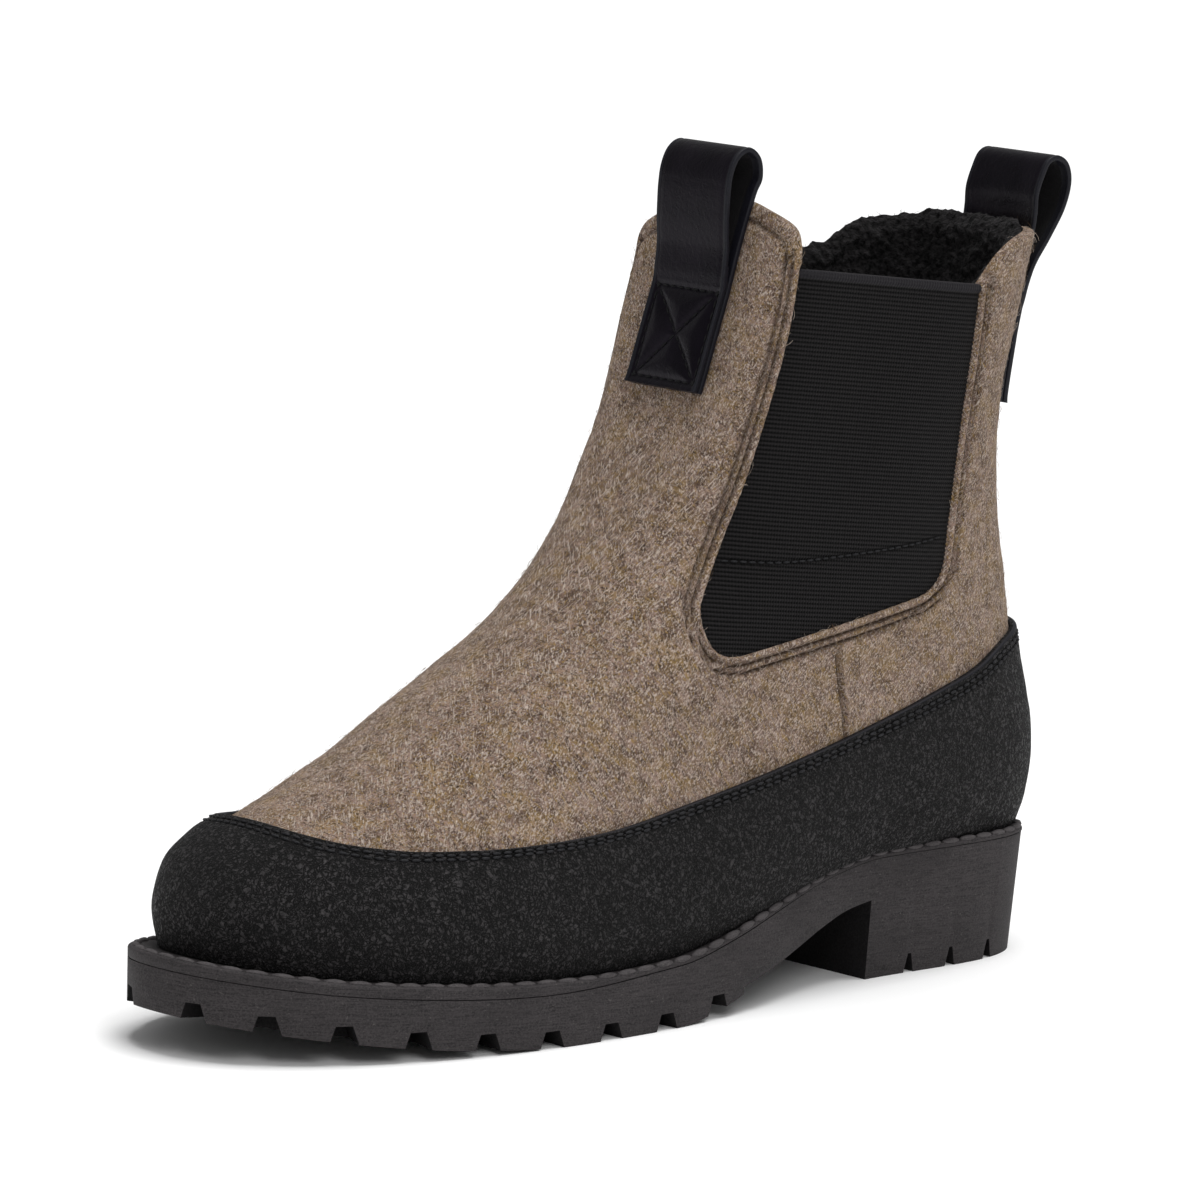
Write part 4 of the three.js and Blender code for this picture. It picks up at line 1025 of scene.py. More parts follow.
@dataclass
class PullLoop:
    """Leather strap folded into a loop and sewn flat on the felt with a box and a cross."""

    last: Last
    end: End
    patch_top: float
    rise: float
    table: tuple[tuple[float, float, float], ...]
    tab_top: float
    width: float = 26.7
    thick: float = 1.5
    patch: float = 25.0
    depth: float = 10.0
    clear: float = 0.3
    corner: float = 0.5
    inset: float = 2.0
    lean: float = 0.0
    steps: int = 250
    across: int = 41
    under: int = 11

    def __post_init__(self) -> None:
        """Finds the strap's foot and the directions up and out."""
        middle = self.face_line(0.0)
        foot = np.array([float(middle(np.array(self.patch_top))), self.patch_top])
        tip = np.array([float(middle(np.array(self.tab_top))), self.tab_top])
        self.foot = foot
        self.up = (tip - foot) / np.linalg.norm(tip - foot)
        out = np.array([self.up[1], -self.up[0]])
        self.out = out if self.end is End.FRONT else -out
        self.middle = middle

    def face_line(self, y: float) -> Curve:
        """Felt's face at a distance from the middle, as x at a height."""
        last = self.last
        z = np.linspace(120, 199, 60)
        uv = last.from_end(np.column_stack([np.full(60, y), z]), self.end)
        point = last.face(uv)
        order = np.argsort(point[:, 2])
        heights, xs = point[order, 2], point[order, 0]
        return lambda at: np.interp(at, heights, xs)

    def path(self) -> Array:
        """Middle line of the strap as lengths up and out, from the patch's foot over the loop and back."""
        rows = np.array(self.table)
        outs = self.clear + rows[:, 1] * self.thick + rows[:, 2] * self.depth
        loop = np.column_stack([rows[:, 0] * self.rise, outs])
        drop = np.linspace(-self.patch, -2.0, 12)
        start = np.column_stack([drop, np.full(12, self.clear + 1.5 * self.thick)])
        finish = np.column_stack([drop[::-1], np.full(12, self.clear + 0.5 * self.thick)])
        return catmull(np.vstack([start, loop, finish]), self.steps)

    def place(self, up: Array, out: Array, y: Array) -> Array:
        """Points from lengths up, out and across."""
        x = self.foot[0] + up * self.up[0] + out * self.out[0]
        z = self.foot[1] + up * self.up[1] + out * self.out[1]
        height = self.tab_top - 3 * np.logaddexp(0, (self.tab_top - z) / 3)
        out = out + self.lean * np.clip(0.15 + 0.85 * up / self.rise, 0, 1)
        x = self.foot[0] + up * self.up[0] + out * self.out[0]
        straight = self.foot[0] + (height - self.foot[1]) * self.up[0] / self.up[1]
        middle = self.middle(height)
        fade = np.clip(1 - (z - self.tab_top + 4) / (self.patch_top + self.rise - self.tab_top + 4), 0, 1)
        fade = fade * fade * (3 - 2 * fade)
        bend = np.zeros(len(x))
        for value in np.unique(np.round(y, 2)):
            chosen = np.abs(y - value) < 0.006
            bend[chosen] = self.face_line(float(value))(height[chosen]) - middle[chosen]
        return np.column_stack([x + middle - straight + bend * fade, y, z])

    def build(self) -> bpy.types.Object:
        """Makes the strap; its faces know grain side, flesh side and cut edge."""
        path = self.path()
        along = np.gradient(path, axis=0)
        along /= np.linalg.norm(along, axis=1, keepdims=True)
        side = np.column_stack([-along[:, 1], along[:, 0]])
        if np.dot(side[3], [0, 1]) < 0:
            side = -side
        half, flat, r = self.width / 2, self.thick / 2 - 0.02, self.corner
        angle = np.linspace(0, math.pi / 2, 5)
        corner = np.column_stack([half - r + r * np.sin(angle), flat - r + r * np.cos(angle)])
        rows = [np.linspace(-half + r, half - r, n + 2)[1:-1] for n in (self.across, self.under)]
        top, low = (np.column_stack([row, np.full(len(row), flat)]) for row in rows)
        top[:, 1] -= 0.16 * np.exp(-(((half - np.abs(top[:, 0]) - 1.3) / 0.45) ** 2))
        section = np.vstack([
            top, corner, (corner * [1, -1])[::-1], (low * [1, -1])[::-1], corner * [-1, -1],
            (corner * [-1, 1])[::-1],
        ])
        count = len(section)
        up = path[:, None, 0] + side[:, None, 0] * section[None, :, 1]
        out = path[:, None, 1] + side[:, None, 1] * section[None, :, 1]
        y = np.broadcast_to(section[None, :, 0], up.shape)
        soft = 0.12 * np.sin(up / 5.3) * (up > 0) - self.pucker(up, out, y)
        points = self.place(up.ravel(), (out + soft).ravel(), y.ravel())
        faces = grid_faces(len(path), count, 0, True)
        faces += [list(range(count))[::-1], [(len(path) - 1) * count + k for k in range(count)]]
        strap = mesh_object(f"pull_loop_{self.end.value}_strap", points, faces, self.last)
        zones = np.full(count, 2)
        zones[: self.across - 1] = 0
        zones[self.across + 10 : self.across + 10 + self.under] = 1
        index = np.concatenate([np.tile(zones, len(path) - 1), [2, 2]])
        strap.data.polygons.foreach_set("material_index", index[: len(strap.data.polygons)].astype(np.int32))
        tidy_normals(strap)
        smooth(strap, 60)
        return strap

    def runs(self) -> list[Array]:
        """Rows of stitches as points across and up: a box round the patch and a cross over it."""
        half, low, high = self.width / 2 - self.inset, -self.patch + self.inset, -0.6
        corners = [(-half, low), (half, low), (half, high), (-half, high), (-half, low)]
        ends = [(corners[k], corners[k + 1]) for k in range(4)]
        ends += [(corners[0], corners[2]), (corners[1], corners[3])]
        return [np.linspace(start, stop, 30) for start, stop in ends]

    def pucker(self, up: Array, out: Array, y: Array) -> Array:
        """Depth by which the stitches draw the patch's face in."""
        gap = np.full(up.shape, np.inf)
        place = np.column_stack([y.ravel(), up.ravel()])
        for line in self.runs():
            gap = np.minimum(gap, distance(place, line, 0.5).reshape(up.shape))
        on_face = np.clip((10 - up) / 9.5, 0, 1) * (out > self.clear + 1.75 * self.thick)
        return on_face * (0.7 * np.exp(-((gap / 0.7) ** 2)) - 0.75 * (1 - np.exp(-((gap / 2.8) ** 2))))

    def seams(self) -> list[tuple[Array, Array]]:
        """Lines of stitches on the patch's face."""
        lines = self.runs()
        outs = self.clear + 2 * self.thick - 0.55
        made = []
        for line in lines:
            point = self.place(line[:, 1], np.full(len(line), outs), line[:, 0])
            normal = np.tile([self.out[0], 0.0, self.out[1]], (len(line), 1))
            made.append((point, normal))
        return made


FRONT_LOOP = (
    (0, 1.5, 0), (0.07, 1.5, 0.015), (0.25, 1.5, 0.185), (0.49, 1.5, 0.505), (0.72, 1.5, 0.725), (0.9, 1.4, 0.68),
    (0.99, 1, 0.42), (0.955, 0.6, 0.08), (0.84, 0.5, -0.085), (0.72, 0.5, -0.005), (0.5, 0.5, 0.02),
    (0.25, 0.5, 0.01), (0, 0.5, 0),
)
REAR_LOOP = (
    (0, 1.5, 0), (0.14, 1.5, 0.02), (0.31, 1.5, 0.175), (0.48, 1.5, 0.465), (0.67, 1.5, 0.705), (0.84, 1.5, 0.685),
    (0.955, 1.3, 0.455), (0.99, 1, 0.12), (0.95, 0.7, -0.115), (0.85, 0.5, -0.175), (0.73, 0.5, -0.185),
    (0.6, 0.5, -0.045), (0.45, 0.5, 0.01), (0, 0.5, 0),
)


# Sole and welt


def prism(name: str, outline: Array, low: float, high: float, axes: Array, at: Array, last: Last) -> bpy.types.Object:
    """Closed prism of a plane outline.

    Args:
        name: Name of the body.
        outline: Corners in the plane of the first two axes.
        low: Start along the third axis.
        high: End along the third axis.
        axes: Three unit rows.
        at: Origin of the axes.
        last: Form that knows the shift to the part's frame.

    Returns:
        The body.
    """
    count = len(outline)
    ends = [np.column_stack([outline, np.full(count, depth)]) @ axes + at for depth in (low, high)]
    faces = [list(range(count))[::-1], list(range(count, 2 * count))]
    faces += [[k, (k + 1) % count, count + (k + 1) % count, count + k] for k in range(count)]
    body = mesh_object(name, np.vstack(ends), faces, last)
    tidy_normals(body)
    return body


def combine(body: bpy.types.Object, other: bpy.types.Object, operation: str) -> bpy.types.Object:
    """Joins, cuts or intersects a body with another, which is used up."""
    step = body.modifiers.new("cut", "BOOLEAN")
    step.operation, step.solver, step.object = operation, "MANIFOLD", other
    baked(body)
    bpy.data.objects.remove(other)
    return body


SIDE_VIEW = np.array([[1, 0, 0], [0, 0, 1], [0, 1, 0]], float)
PLAN_VIEW = np.eye(3)


@dataclass
class Sole:
    """Lugged rubber outsole with heel, arch and toe spring, under a moulded welt."""

    last: Last
    steps: int = 150
    toe_spring: float = 10.5
    rear_spring: float = 5.0
    tread_step: float = 1.7
    arch_height: float = 20.8
    toe_power: float = 1.65
    rear_power: float = 2.0
    heel_draft: float = 3.0
    draft_end: float = 0.4
    draft_fade: float = 0.15
    rear_draft: float = 0.12
    heel_half: float = 0.33
    breast: float = 0.25
    tread_rear: float = 0.448
    flat: tuple[float, float] = (0.555, 0.66)
    arch: tuple[tuple[float, float], ...] = ((0.25, 1), (0.283, 0.94), (0.321, 0.8), (0.357, 0.645), (0.4, 0.476))
    welt_band: float = 13.0
    gap: float = 0.3
    joint: float = 0.1
    welt_edge: tuple[float, float] = (1.3, 3.0)
    welt_edge_from: tuple[float, float] = (150, 195)
    lug_pitch: float = 18.8
    first_notch: float = 13.1
    notch: tuple[float, float, float, float] = (7.2, 4.2, 4.2, 13.0)
    notch_rear: float = 0.458
    heel_notch: tuple[float, float, float, float] = (3.4, 1.1, 5.0, 13.0)
    heel_notch_pitch: float = 14.6
    heel_notch_first: float = 15.5
    edge_lug: float = 15.0
    hollows: tuple[tuple[float, float], ...] = ((0.498, 1.0), (0.07, 0.21))
    crosses: tuple[tuple[float, float], ...] = ((0.135, 0.7), (0.56, 1), (0.68, 1), (0.8, 1))
    cross_arm: float = 25.0
    cross_width: float = 7.0
    bevel: float = 0.4

    stitch_inset: tuple[tuple[float, float], ...] = ((0, 1.2), (45, 1.0), (75, 0.75), (130, 0.75), (165, 1.1), (215, 2.0))

    def tread(self, x: Array) -> Array:
        """Height of the tread ahead of the arch."""
        share = x / self.last.length
        toe = np.clip((share - self.flat[1]) / (1 - self.flat[1]), 0, None) ** self.toe_power * self.toe_spring
        back = np.clip((self.flat[0] - share) / (self.flat[0] - self.tread_rear), 0, None) ** self.rear_power
        return toe + back * self.rear_spring

    def edge_thick(self, x: Array) -> Array:
        """Depth of the joint line below the welt's top."""
        t = np.clip((x - self.welt_edge_from[0]) / (self.welt_edge_from[1] - self.welt_edge_from[0]), 0, 1)
        return self.welt_edge[0] + (self.welt_edge[1] - self.welt_edge[0]) * t * t * (3 - 2 * t)

    def inset(self, depth: float, steps: int) -> Array:
        """Sole's outline moved inwards."""
        line = self.last.outline(steps)
        ahead = np.roll(line, -1, 0) - np.roll(line, 1, 0)
        ahead /= np.linalg.norm(ahead, axis=1, keepdims=True)
        return line + depth * np.column_stack([ahead[:, 1], -ahead[:, 0]])

    def underside(self) -> Array:
        """Side-view line of the underside from the heel's rear to the toe."""
        last = self.last
        x, h = np.array(self.arch).T
        arch_line = monotone(x, h)
        shares = np.linspace(self.breast, self.tread_rear, 40)
        foot = (self.rear_spring + self.tread_step) / self.arch_height
        heights = np.where(
            shares <= x[-1], arch_line(shares), h[-1] + (foot - h[-1]) * (shares - x[-1]) / (self.tread_rear - x[-1])
        )
        arch = np.column_stack([shares * last.length, heights * self.arch_height])
        xs = np.linspace(self.tread_rear * last.length, 1.06 * last.length, 90)
        xs[0] += 0.01
        return np.vstack([
            [[-60, 0], [self.breast * last.length - 0.01, 0]], arch, np.column_stack([xs, self.tread(xs)]),
        ])

    def band(self, name: str, low: Curve, high: Curve, start: float = -16.0, stop: float = 286.0) -> bpy.types.Object:
        """Side-view band between two heights, through the whole width."""
        xs = np.linspace(start, stop, 120)
        outline = np.vstack([np.column_stack([xs, low(xs)]), np.column_stack([xs, high(xs)])[::-1]])
        return prism(name, outline, -60, 60, SIDE_VIEW, np.zeros(3), self.last)

    def sides(self) -> bpy.types.Object:
        """Body of the sole's sides, drawn in towards the floor round the heel."""
        last = self.last
        line = last.outline(self.steps)
        fade = np.clip((self.draft_end - line[:, 0] / last.length) / self.draft_fade, 0, 1)
        run = np.clip(1 - line[:, 0] / (self.rear_draft * last.length), 0, 1)
        rings = []
        for z, draft in ((-2, self.heel_draft), (last.heel_stack, 0), (2 * last.heel_stack, 0)):
            inward = draft * fade
            y = line[:, 1] * (1 - inward / (self.heel_half * last.ball_width))
            rings.append(np.column_stack([line[:, 0] + inward * run, y, np.full(len(line), z)]))
        count = len(line)
        faces = grid_faces(3, count, 0, True) + [list(range(count))[::-1], [2 * count + k for k in range(count)]]
        body = mesh_object("rubber_outsole", np.vstack(rings), faces, last)
        tidy_normals(body)
        return body

    def notch_at(self, at: Array, along: Array, sizes: Sequence[float]) -> bpy.types.Object:
        """Trapezoid cutter that enters the sole's edge."""
        floor, roof, depth, reach = sizes
        margin = 4
        flare = (floor - roof) / 2 * (1 + margin / depth)
        outline = np.array([
            (-roof / 2 - flare, -margin), (roof / 2 + flare, -margin), (roof / 2, depth), (-roof / 2, depth),
        ])
        inward = np.array([-along[1], along[0], 0])
        axes = np.array([along, [0, 0, 1], inward])
        return prism("notch", outline, -margin, reach, axes, at, self.last)

    def notches(self) -> list[bpy.types.Object]:
        """Cutters of all edge notches."""
        last = self.last
        made = []
        for side in Side:
            path = last.egg(last.sole, side, 200)[::-1]
            run = path_length(path)
            for far in np.arange(self.first_notch, run[-1], self.lug_pitch):
                at = np.array([np.interp(far, run, path[:, 0]), np.interp(far, run, path[:, 1]), 0])
                if at[0] < self.notch_rear * last.length + self.notch[0] / 2:
                    break
                k = int(np.searchsorted(run, far))
                along = np.append((path[k] - path[k - 1]) / (run[k] - run[k - 1]), 0) * side.value
                at[2] = float(self.tread(at[:1])[0])
                made.append(self.notch_at(at, along, self.notch))
            for k in range(3):
                x = self.breast * last.length - self.heel_notch_first - self.heel_notch_pitch * k
                at = np.array([x, side.value * last.ball_width * self.heel_half, 0])
                made.append(self.notch_at(at, np.array([-side.value, 0, 0.0]), self.heel_notch))
        return made

    def hollow(self) -> bpy.types.Object:
        """Space between the edge lugs, less the crosses that stand in it."""
        last = self.last
        inner = prism("hollow", self.inset(self.edge_lug, 60), -60, 60, PLAN_VIEW, np.zeros(3), last)
        depth = self.notch[2]
        (x0, x1), (x2, x3) = (np.array(pair) * last.length for pair in self.hollows)
        band = self.band("front", lambda x: self.tread(x) - 60, lambda x: self.tread(x) + depth, x0, x1)
        box = self.band("rear", lambda x: x * 0 - 60, lambda x: x * 0 + depth, x2, x3)
        hollow = combine(inner, combine(band, box, "UNION"), "INTERSECT")
        for share, size in self.crosses:
            half, wide = self.cross_arm * size / 2, self.cross_width / 2
            bar = np.array([(-half, -wide), (half, -wide), (half, wide), (-half, wide)])
            for angle in (math.pi / 4, -math.pi / 4):
                c, s = math.cos(angle), math.sin(angle)
                turned = bar @ np.array([[c, s], [-s, c]]) + [share * last.length, 0]
                hollow = combine(hollow, prism("bar", turned, -70, 70, PLAN_VIEW, np.zeros(3), last), "DIFFERENCE")
        return hollow

    def build_outsole(self, sanded: bpy.types.Material, moulded: bpy.types.Material) -> bpy.types.Object:
        """Makes the outsole."""
        last = self.last
        body = self.sides()
        line = self.underside()
        below = np.vstack([line, [[330, self.toe_spring], [330, -80], [-60, -80]]])
        combine(body, prism("below", below, -70, 70, SIDE_VIEW, np.zeros(3), last), "DIFFERENCE")
        for cutter in self.notches():
            combine(body, cutter, "DIFFERENCE")
        combine(body, self.hollow(), "DIFFERENCE")
        edge_top = lambda x: last.welt_top(x) - self.gap - self.edge_thick(x) - self.joint
        over = self.band("over", edge_top, lambda x: x * 0 + 90)
        core = prism("core", self.inset(self.welt_band + self.gap, 90), -60, 100, PLAN_VIEW, np.zeros(3), last)
        ring = combine(over, core, "DIFFERENCE")
        combine(body, ring, "DIFFERENCE")
        top = self.band("top", lambda x: last.welt_top(x) - self.gap, lambda x: x * 0 + 90)
        combine(body, top, "DIFFERENCE")
        rounded = body.modifiers.new("round", "BEVEL")
        rounded.width, rounded.segments, rounded.limit_method = self.bevel * MM, 2, "ANGLE"
        rounded.angle_limit = math.radians(48)
        rounded.use_clamp_overlap = True
        baked(body)
        smooth(body, 40)
        line = last.outline(400)
        ahead = np.roll(line, -1, 0) - np.roll(line, 1, 0)
        outward = np.column_stack([ahead[:, 1], -ahead[:, 0]]) / np.linalg.norm(ahead, axis=1, keepdims=True)
        faces = body.data.polygons
        centre = np.array([face.center for face in faces]) / MM - last.shift
        normal = np.array([face.normal for face in faces])
        near = ((centre[:, None, :2] - line[None]) ** 2).sum(2).argmin(1)
        facing = np.abs((normal[:, :2] * outward[near]).sum(1))
        gap = np.linalg.norm(centre[:, :2] - line[near], axis=1)
        body.data.materials.clear()
        for material in (sanded, moulded):
            body.data.materials.append(material)
        faces.foreach_set("material_index", ((facing < 0.6) | (gap > 5)).astype(np.int32))
        return body

    def build_welt(self) -> bpy.types.Object:
        """Makes the welt strip as a section swept round the outline."""
        last = self.last
        steps = 220
        r = 0.9
        angle = np.linspace(0, math.pi / 2, 6)
        rows = [(0.25, -1.0, 1.0), (0.0, -0.8, 0.8)]
        rows += [(r - r * math.cos(a), -r + r * math.sin(a), 0.0) for a in angle]
        rows += [(1.6, 0.0, 0), (2.4, 0.02, 0), (4.0, 0.0, 0), (8, 0, 0), (self.welt_band, 0, 0)]
        rings = []
        for depth, down, low in rows:
            line = self.inset(depth, steps)
            behind = np.clip(1 - line[:, :1] / 26, 0, 1) * (depth < 2)
            line = line * (1 - behind) + self.inset(min(depth * 2.2, 2.6), steps) * behind
            thick = self.edge_thick(line[:, 0])
            z = last.welt_top(line[:, 0]) - self.gap + (down if low == 0 else -thick - down - low)
            z = last.welt_top(line[:, 0]) - self.gap - thick + (1 - low) * 1.0 if low else z
            rings.append(np.column_stack([line, z]))
        bottom = self.inset(self.welt_band, steps)
        rings.append(np.column_stack([
            bottom, last.welt_top(bottom[:, 0]) - self.gap - self.edge_thick(bottom[:, 0]),
        ]))
        count = len(rings[0])
        faces = grid_faces(len(rings), count, 0, True)
        last_ring = (len(rings) - 1) * count
        faces += [[last_ring + k, last_ring + (k + 1) % count, (k + 1) % count, k] for k in range(count)]
        strip = mesh_object("rubber_welt", np.vstack(rings), faces, last)
        tidy_normals(strip)
        smooth(strip, 50)
        return strip

    def stitch_line(self) -> tuple[Array, Array]:
        """Closed line on the welt's top: in from the edge round the toe, at the very edge in the waist."""
        x = self.last.outline(300)[:, 0]
        depth = np.interp(x, *np.array(self.stitch_inset).T)[:, None]
        line = self.inset(0, 300) + (self.inset(1, 300) - self.inset(0, 300)) * depth
        line = np.vstack([line, line[:1]])
        z = self.last.welt_top(line[:, 0]) - self.gap
        return np.column_stack([line, z]), np.tile([0.0, 0.0, 1.0], (len(line), 1))


# Repeated shapes by Geometry Nodes


def add(tree: bpy.types.NodeTree, kind: str, inputs: dict | None = None, **settings: object) -> bpy.types.Node:
    """Adds a node.

    Args:
        tree: Tree of a material or of Geometry Nodes.
        kind: Type of the node.
        inputs: Value or source socket by input name or index.
        **settings: Properties of the node.

    Returns:
        The node.
    """
    made = tree.nodes.new(kind)
    for name, value in settings.items():
        setattr(made, name, value)
    for key, value in (inputs or {}).items():
        socket = made.inputs[key]
        if isinstance(value, bpy.types.NodeSocket):
            tree.links.new(value, socket)
        else:
            socket.default_value = value
    return made


def geometry_tree(name: str, sockets: dict[str, str]) -> tuple[bpy.types.NodeTree, bpy.types.Node, bpy.types.Node]:
    """Starts a Geometry Nodes tree.

    Args:
        name: Name of the tree.
        sockets: Type of each named input.

    Returns:
        Tree, group input and group output.
    """
    tree = bpy.data.node_groups.new(name, "GeometryNodeTree")
    tree.interface.new_socket("Geometry", in_out="OUTPUT", socket_type="NodeSocketGeometry")
    tree.interface.new_socket("Geometry", in_out="INPUT", socket_type="NodeSocketGeometry")
    for socket, kind in sockets.items():
        tree.interface.new_socket(socket, in_out="INPUT", socket_type=kind)
    return tree, tree.nodes.new("NodeGroupInput"), tree.nodes.new("NodeGroupOutput")


def run_tree(piece: bpy.types.Object, tree: bpy.types.NodeTree, values: dict[str, object]) -> bpy.types.Object:
    """Runs a tree on a piece with named values and keeps the plain mesh."""
    step = piece.modifiers.new("grow", "NODES")
    step.node_group = tree
    for item in tree.interface.items_tree:
        if item.item_type == "SOCKET" and item.in_out == "INPUT" and item.name in values:
            step[item.identifier] = values[item.name]
    return baked(piece)


def stitch_tree() -> bpy.types.NodeTree:
    """Tree that lays rounded stitches end to end along lines."""
    floats = dict.fromkeys(("Pitch", "Length", "Width", "Height"), "NodeSocketFloat")
    tree, start, end = geometry_tree("lay_stitches", {**floats, "Material": "NodeSocketMaterial"})
    curve = add(tree, "GeometryNodeMeshToCurve", {"Mesh": start.outputs["Geometry"]})
    points = add(tree, "GeometryNodeCurveToPoints", {"Curve": curve.outputs[0], "Length": start.outputs["Pitch"]},
                 mode="LENGTH")
    outward = add(tree, "GeometryNodeInputNamedAttribute", {"Name": "outward"}, data_type="FLOAT_VECTOR")
    run = add(tree, "FunctionNodeAlignRotationToVector", {"Vector": points.outputs["Tangent"]}, axis="Z")
    turn = add(tree, "FunctionNodeAlignRotationToVector",
               {"Rotation": run.outputs[0], "Vector": outward.outputs["Attribute"]}, axis="X", pivot_axis="Z")
    size = add(tree, "ShaderNodeCombineXYZ",
               {"X": start.outputs["Height"], "Y": start.outputs["Width"], "Z": start.outputs["Length"]})
    ball = add(tree, "GeometryNodeMeshUVSphere", {"Segments": 8, "Rings": 6, "Radius": 0.5})
    laid = add(tree, "GeometryNodeInstanceOnPoints", {
        "Points": points.outputs["Points"], "Instance": ball.outputs["Mesh"], "Rotation": turn.outputs[0],
        "Scale": size.outputs[0],
    })
    real = add(tree, "GeometryNodeRealizeInstances", {"Geometry": laid.outputs[0]})
    done = add(tree, "GeometryNodeSetMaterial",
               {"Geometry": real.outputs[0], "Material": start.outputs["Material"]})
    tree.links.new(done.outputs[0], end.inputs[0])
    return tree


def fibre_tree() -> bpy.types.NodeTree:
    """Tree that scatters thin bent fibres over a mesh where its attribute named outer is 1."""
    floats = dict.fromkeys(("Density", "Length", "Radius", "Lift"), "NodeSocketFloat")
    tree, start, end = geometry_tree("scatter_fibres", {**floats, "Seed": "NodeSocketInt",
                                                        "Material": "NodeSocketMaterial"})
    outer = add(tree, "GeometryNodeInputNamedAttribute", {"Name": "outer"}, data_type="FLOAT")
    density = add(tree, "ShaderNodeMath", {0: outer.outputs["Attribute"], 1: start.outputs["Density"]},
                  operation="MULTIPLY")
    spread = add(tree, "GeometryNodeDistributePointsOnFaces", {
        "Mesh": start.outputs["Geometry"], "Density": density.outputs[0], "Seed": start.outputs["Seed"],
    }, distribute_method="RANDOM")
    half = add(tree, "ShaderNodeMath", {0: start.outputs["Length"], 1: 0.5}, operation="MULTIPLY")
    lifted = add(tree, "ShaderNodeMath", {0: start.outputs["Length"], 1: 0.22}, operation="MULTIPLY")
    middle = add(tree, "ShaderNodeCombineXYZ", {"X": half.outputs[0], "Z": lifted.outputs[0]})
    tip = add(tree, "ShaderNodeCombineXYZ", {"X": start.outputs["Length"], "Z": 0.0})
    bow = add(tree, "GeometryNodeCurveQuadraticBezier",
              {"Resolution": 3, "Middle": middle.outputs[0], "End": tip.outputs[0], "Start": (0, 0, 0)})
    ring = add(tree, "GeometryNodeCurvePrimitiveCircle", {"Resolution": 3, "Radius": start.outputs["Radius"]},
               mode="RADIUS")
    hair = add(tree, "GeometryNodeCurveToMesh", {"Curve": bow.outputs[0], "Profile Curve": ring.outputs[0]})
    spin = add(tree, "FunctionNodeRandomValue", {"Min": 0.0, "Max": 6.2832, "Seed": 5}, data_type="FLOAT")
    lean = add(tree, "FunctionNodeRandomValue", {"Min": -0.9, "Max": 0.05, "Seed": 6}, data_type="FLOAT")
    bent = add(tree, "ShaderNodeMath", {0: lean.outputs[1], 1: start.outputs["Lift"]}, operation="MULTIPLY")
    angles = add(tree, "ShaderNodeCombineXYZ", {"Y": bent.outputs[0], "Z": spin.outputs[1]})
    scale = add(tree, "FunctionNodeRandomValue", {"Min": 0.45, "Max": 1.2, "Seed": 7}, data_type="FLOAT")
    laid = add(tree, "GeometryNodeInstanceOnPoints", {
        "Points": spread.outputs["Points"], "Instance": hair.outputs[0], "Rotation": spread.outputs["Rotation"],
    })
    turned = add(tree, "GeometryNodeRotateInstances",
                 {"Instances": laid.outputs[0], "Rotation": angles.outputs[0], "Local Space": True})
    scaled = add(tree, "GeometryNodeScaleInstances",
                 {"Instances": turned.outputs[0], "Scale": scale.outputs[1], "Local Space": True})
    real = add(tree, "GeometryNodeRealizeInstances", {"Geometry": scaled.outputs[0]})
    done = add(tree, "GeometryNodeSetMaterial",
               {"Geometry": real.outputs[0], "Material": start.outputs["Material"]})
    tree.links.new(done.outputs[0], end.inputs[0])
    return tree


@dataclass(frozen=True)
class Sewing:
    """Sizes of a row of stitches."""

    pitch: float
    length: float
    width: float
    height: float

    def sew(self, name: str, lines: Sequence[tuple[Array, Array]], tree: bpy.types.NodeTree,
            material: bpy.types.Material, last: Last) -> bpy.types.Object:
        """Lays stitches along lines.

        Args:
            name: Name of the piece.
            lines: Points and outward directions of each line.
            tree: Tree that lays stitches.
            material: Thread.
            last: Form that knows the shift to the part's frame.

        Returns:
            The stitches.
        """
        points = np.vstack([line for line, _ in lines])
        outward = np.vstack([normal for _, normal in lines])
        edges, start = [], 0
        for line, _ in lines:
            edges += [(start + k, start + k + 1) for k in range(len(line) - 1)]
            start += len(line)
        mesh = bpy.data.meshes.new(name)
        mesh.from_pydata(((points + last.shift) * MM).tolist(), edges, [])
        mesh.attributes.new("outward", "FLOAT_VECTOR", "POINT").data.foreach_set("vector", outward.ravel())
        row = bpy.data.objects.new(name, mesh)
        bpy.context.scene.collection.objects.link(row)
        sizes = {"Pitch": self.pitch, "Length": self.length, "Width": self.width, "Height": self.height}
        run_tree(row, tree, {**{key: value * MM for key, value in sizes.items()}, "Material": material})
        smooth(row)
        return row


# Finishes


def linear(code: str) -> tuple[float, float, float, float]:
    """Linear colour of an sRGB hex code."""
    parts = [int(code[k : k + 2], 16) / 255 for k in (0, 2, 4)]
    return (*(c / 12.92 if c <= 0.04045 else ((c + 0.055) / 1.055) ** 2.4 for c in parts), 1.0)


def mixed(tree: bpy.types.NodeTree, factor: object, a: object, b: object) -> bpy.types.NodeSocket:
    """Colour mixed between two colours or sockets."""
    made = add(tree, "ShaderNodeMix", {0: factor, 6: a, 7: b}, data_type="RGBA")
    return made.outputs[2]


def math_node(tree: bpy.types.NodeTree, operation: str, a: object, b: object) -> bpy.types.NodeSocket:
    """Result of an operation on two values or sockets."""
    return add(tree, "ShaderNodeMath", {0: a, 1: b}, operation=operation).outputs[0]


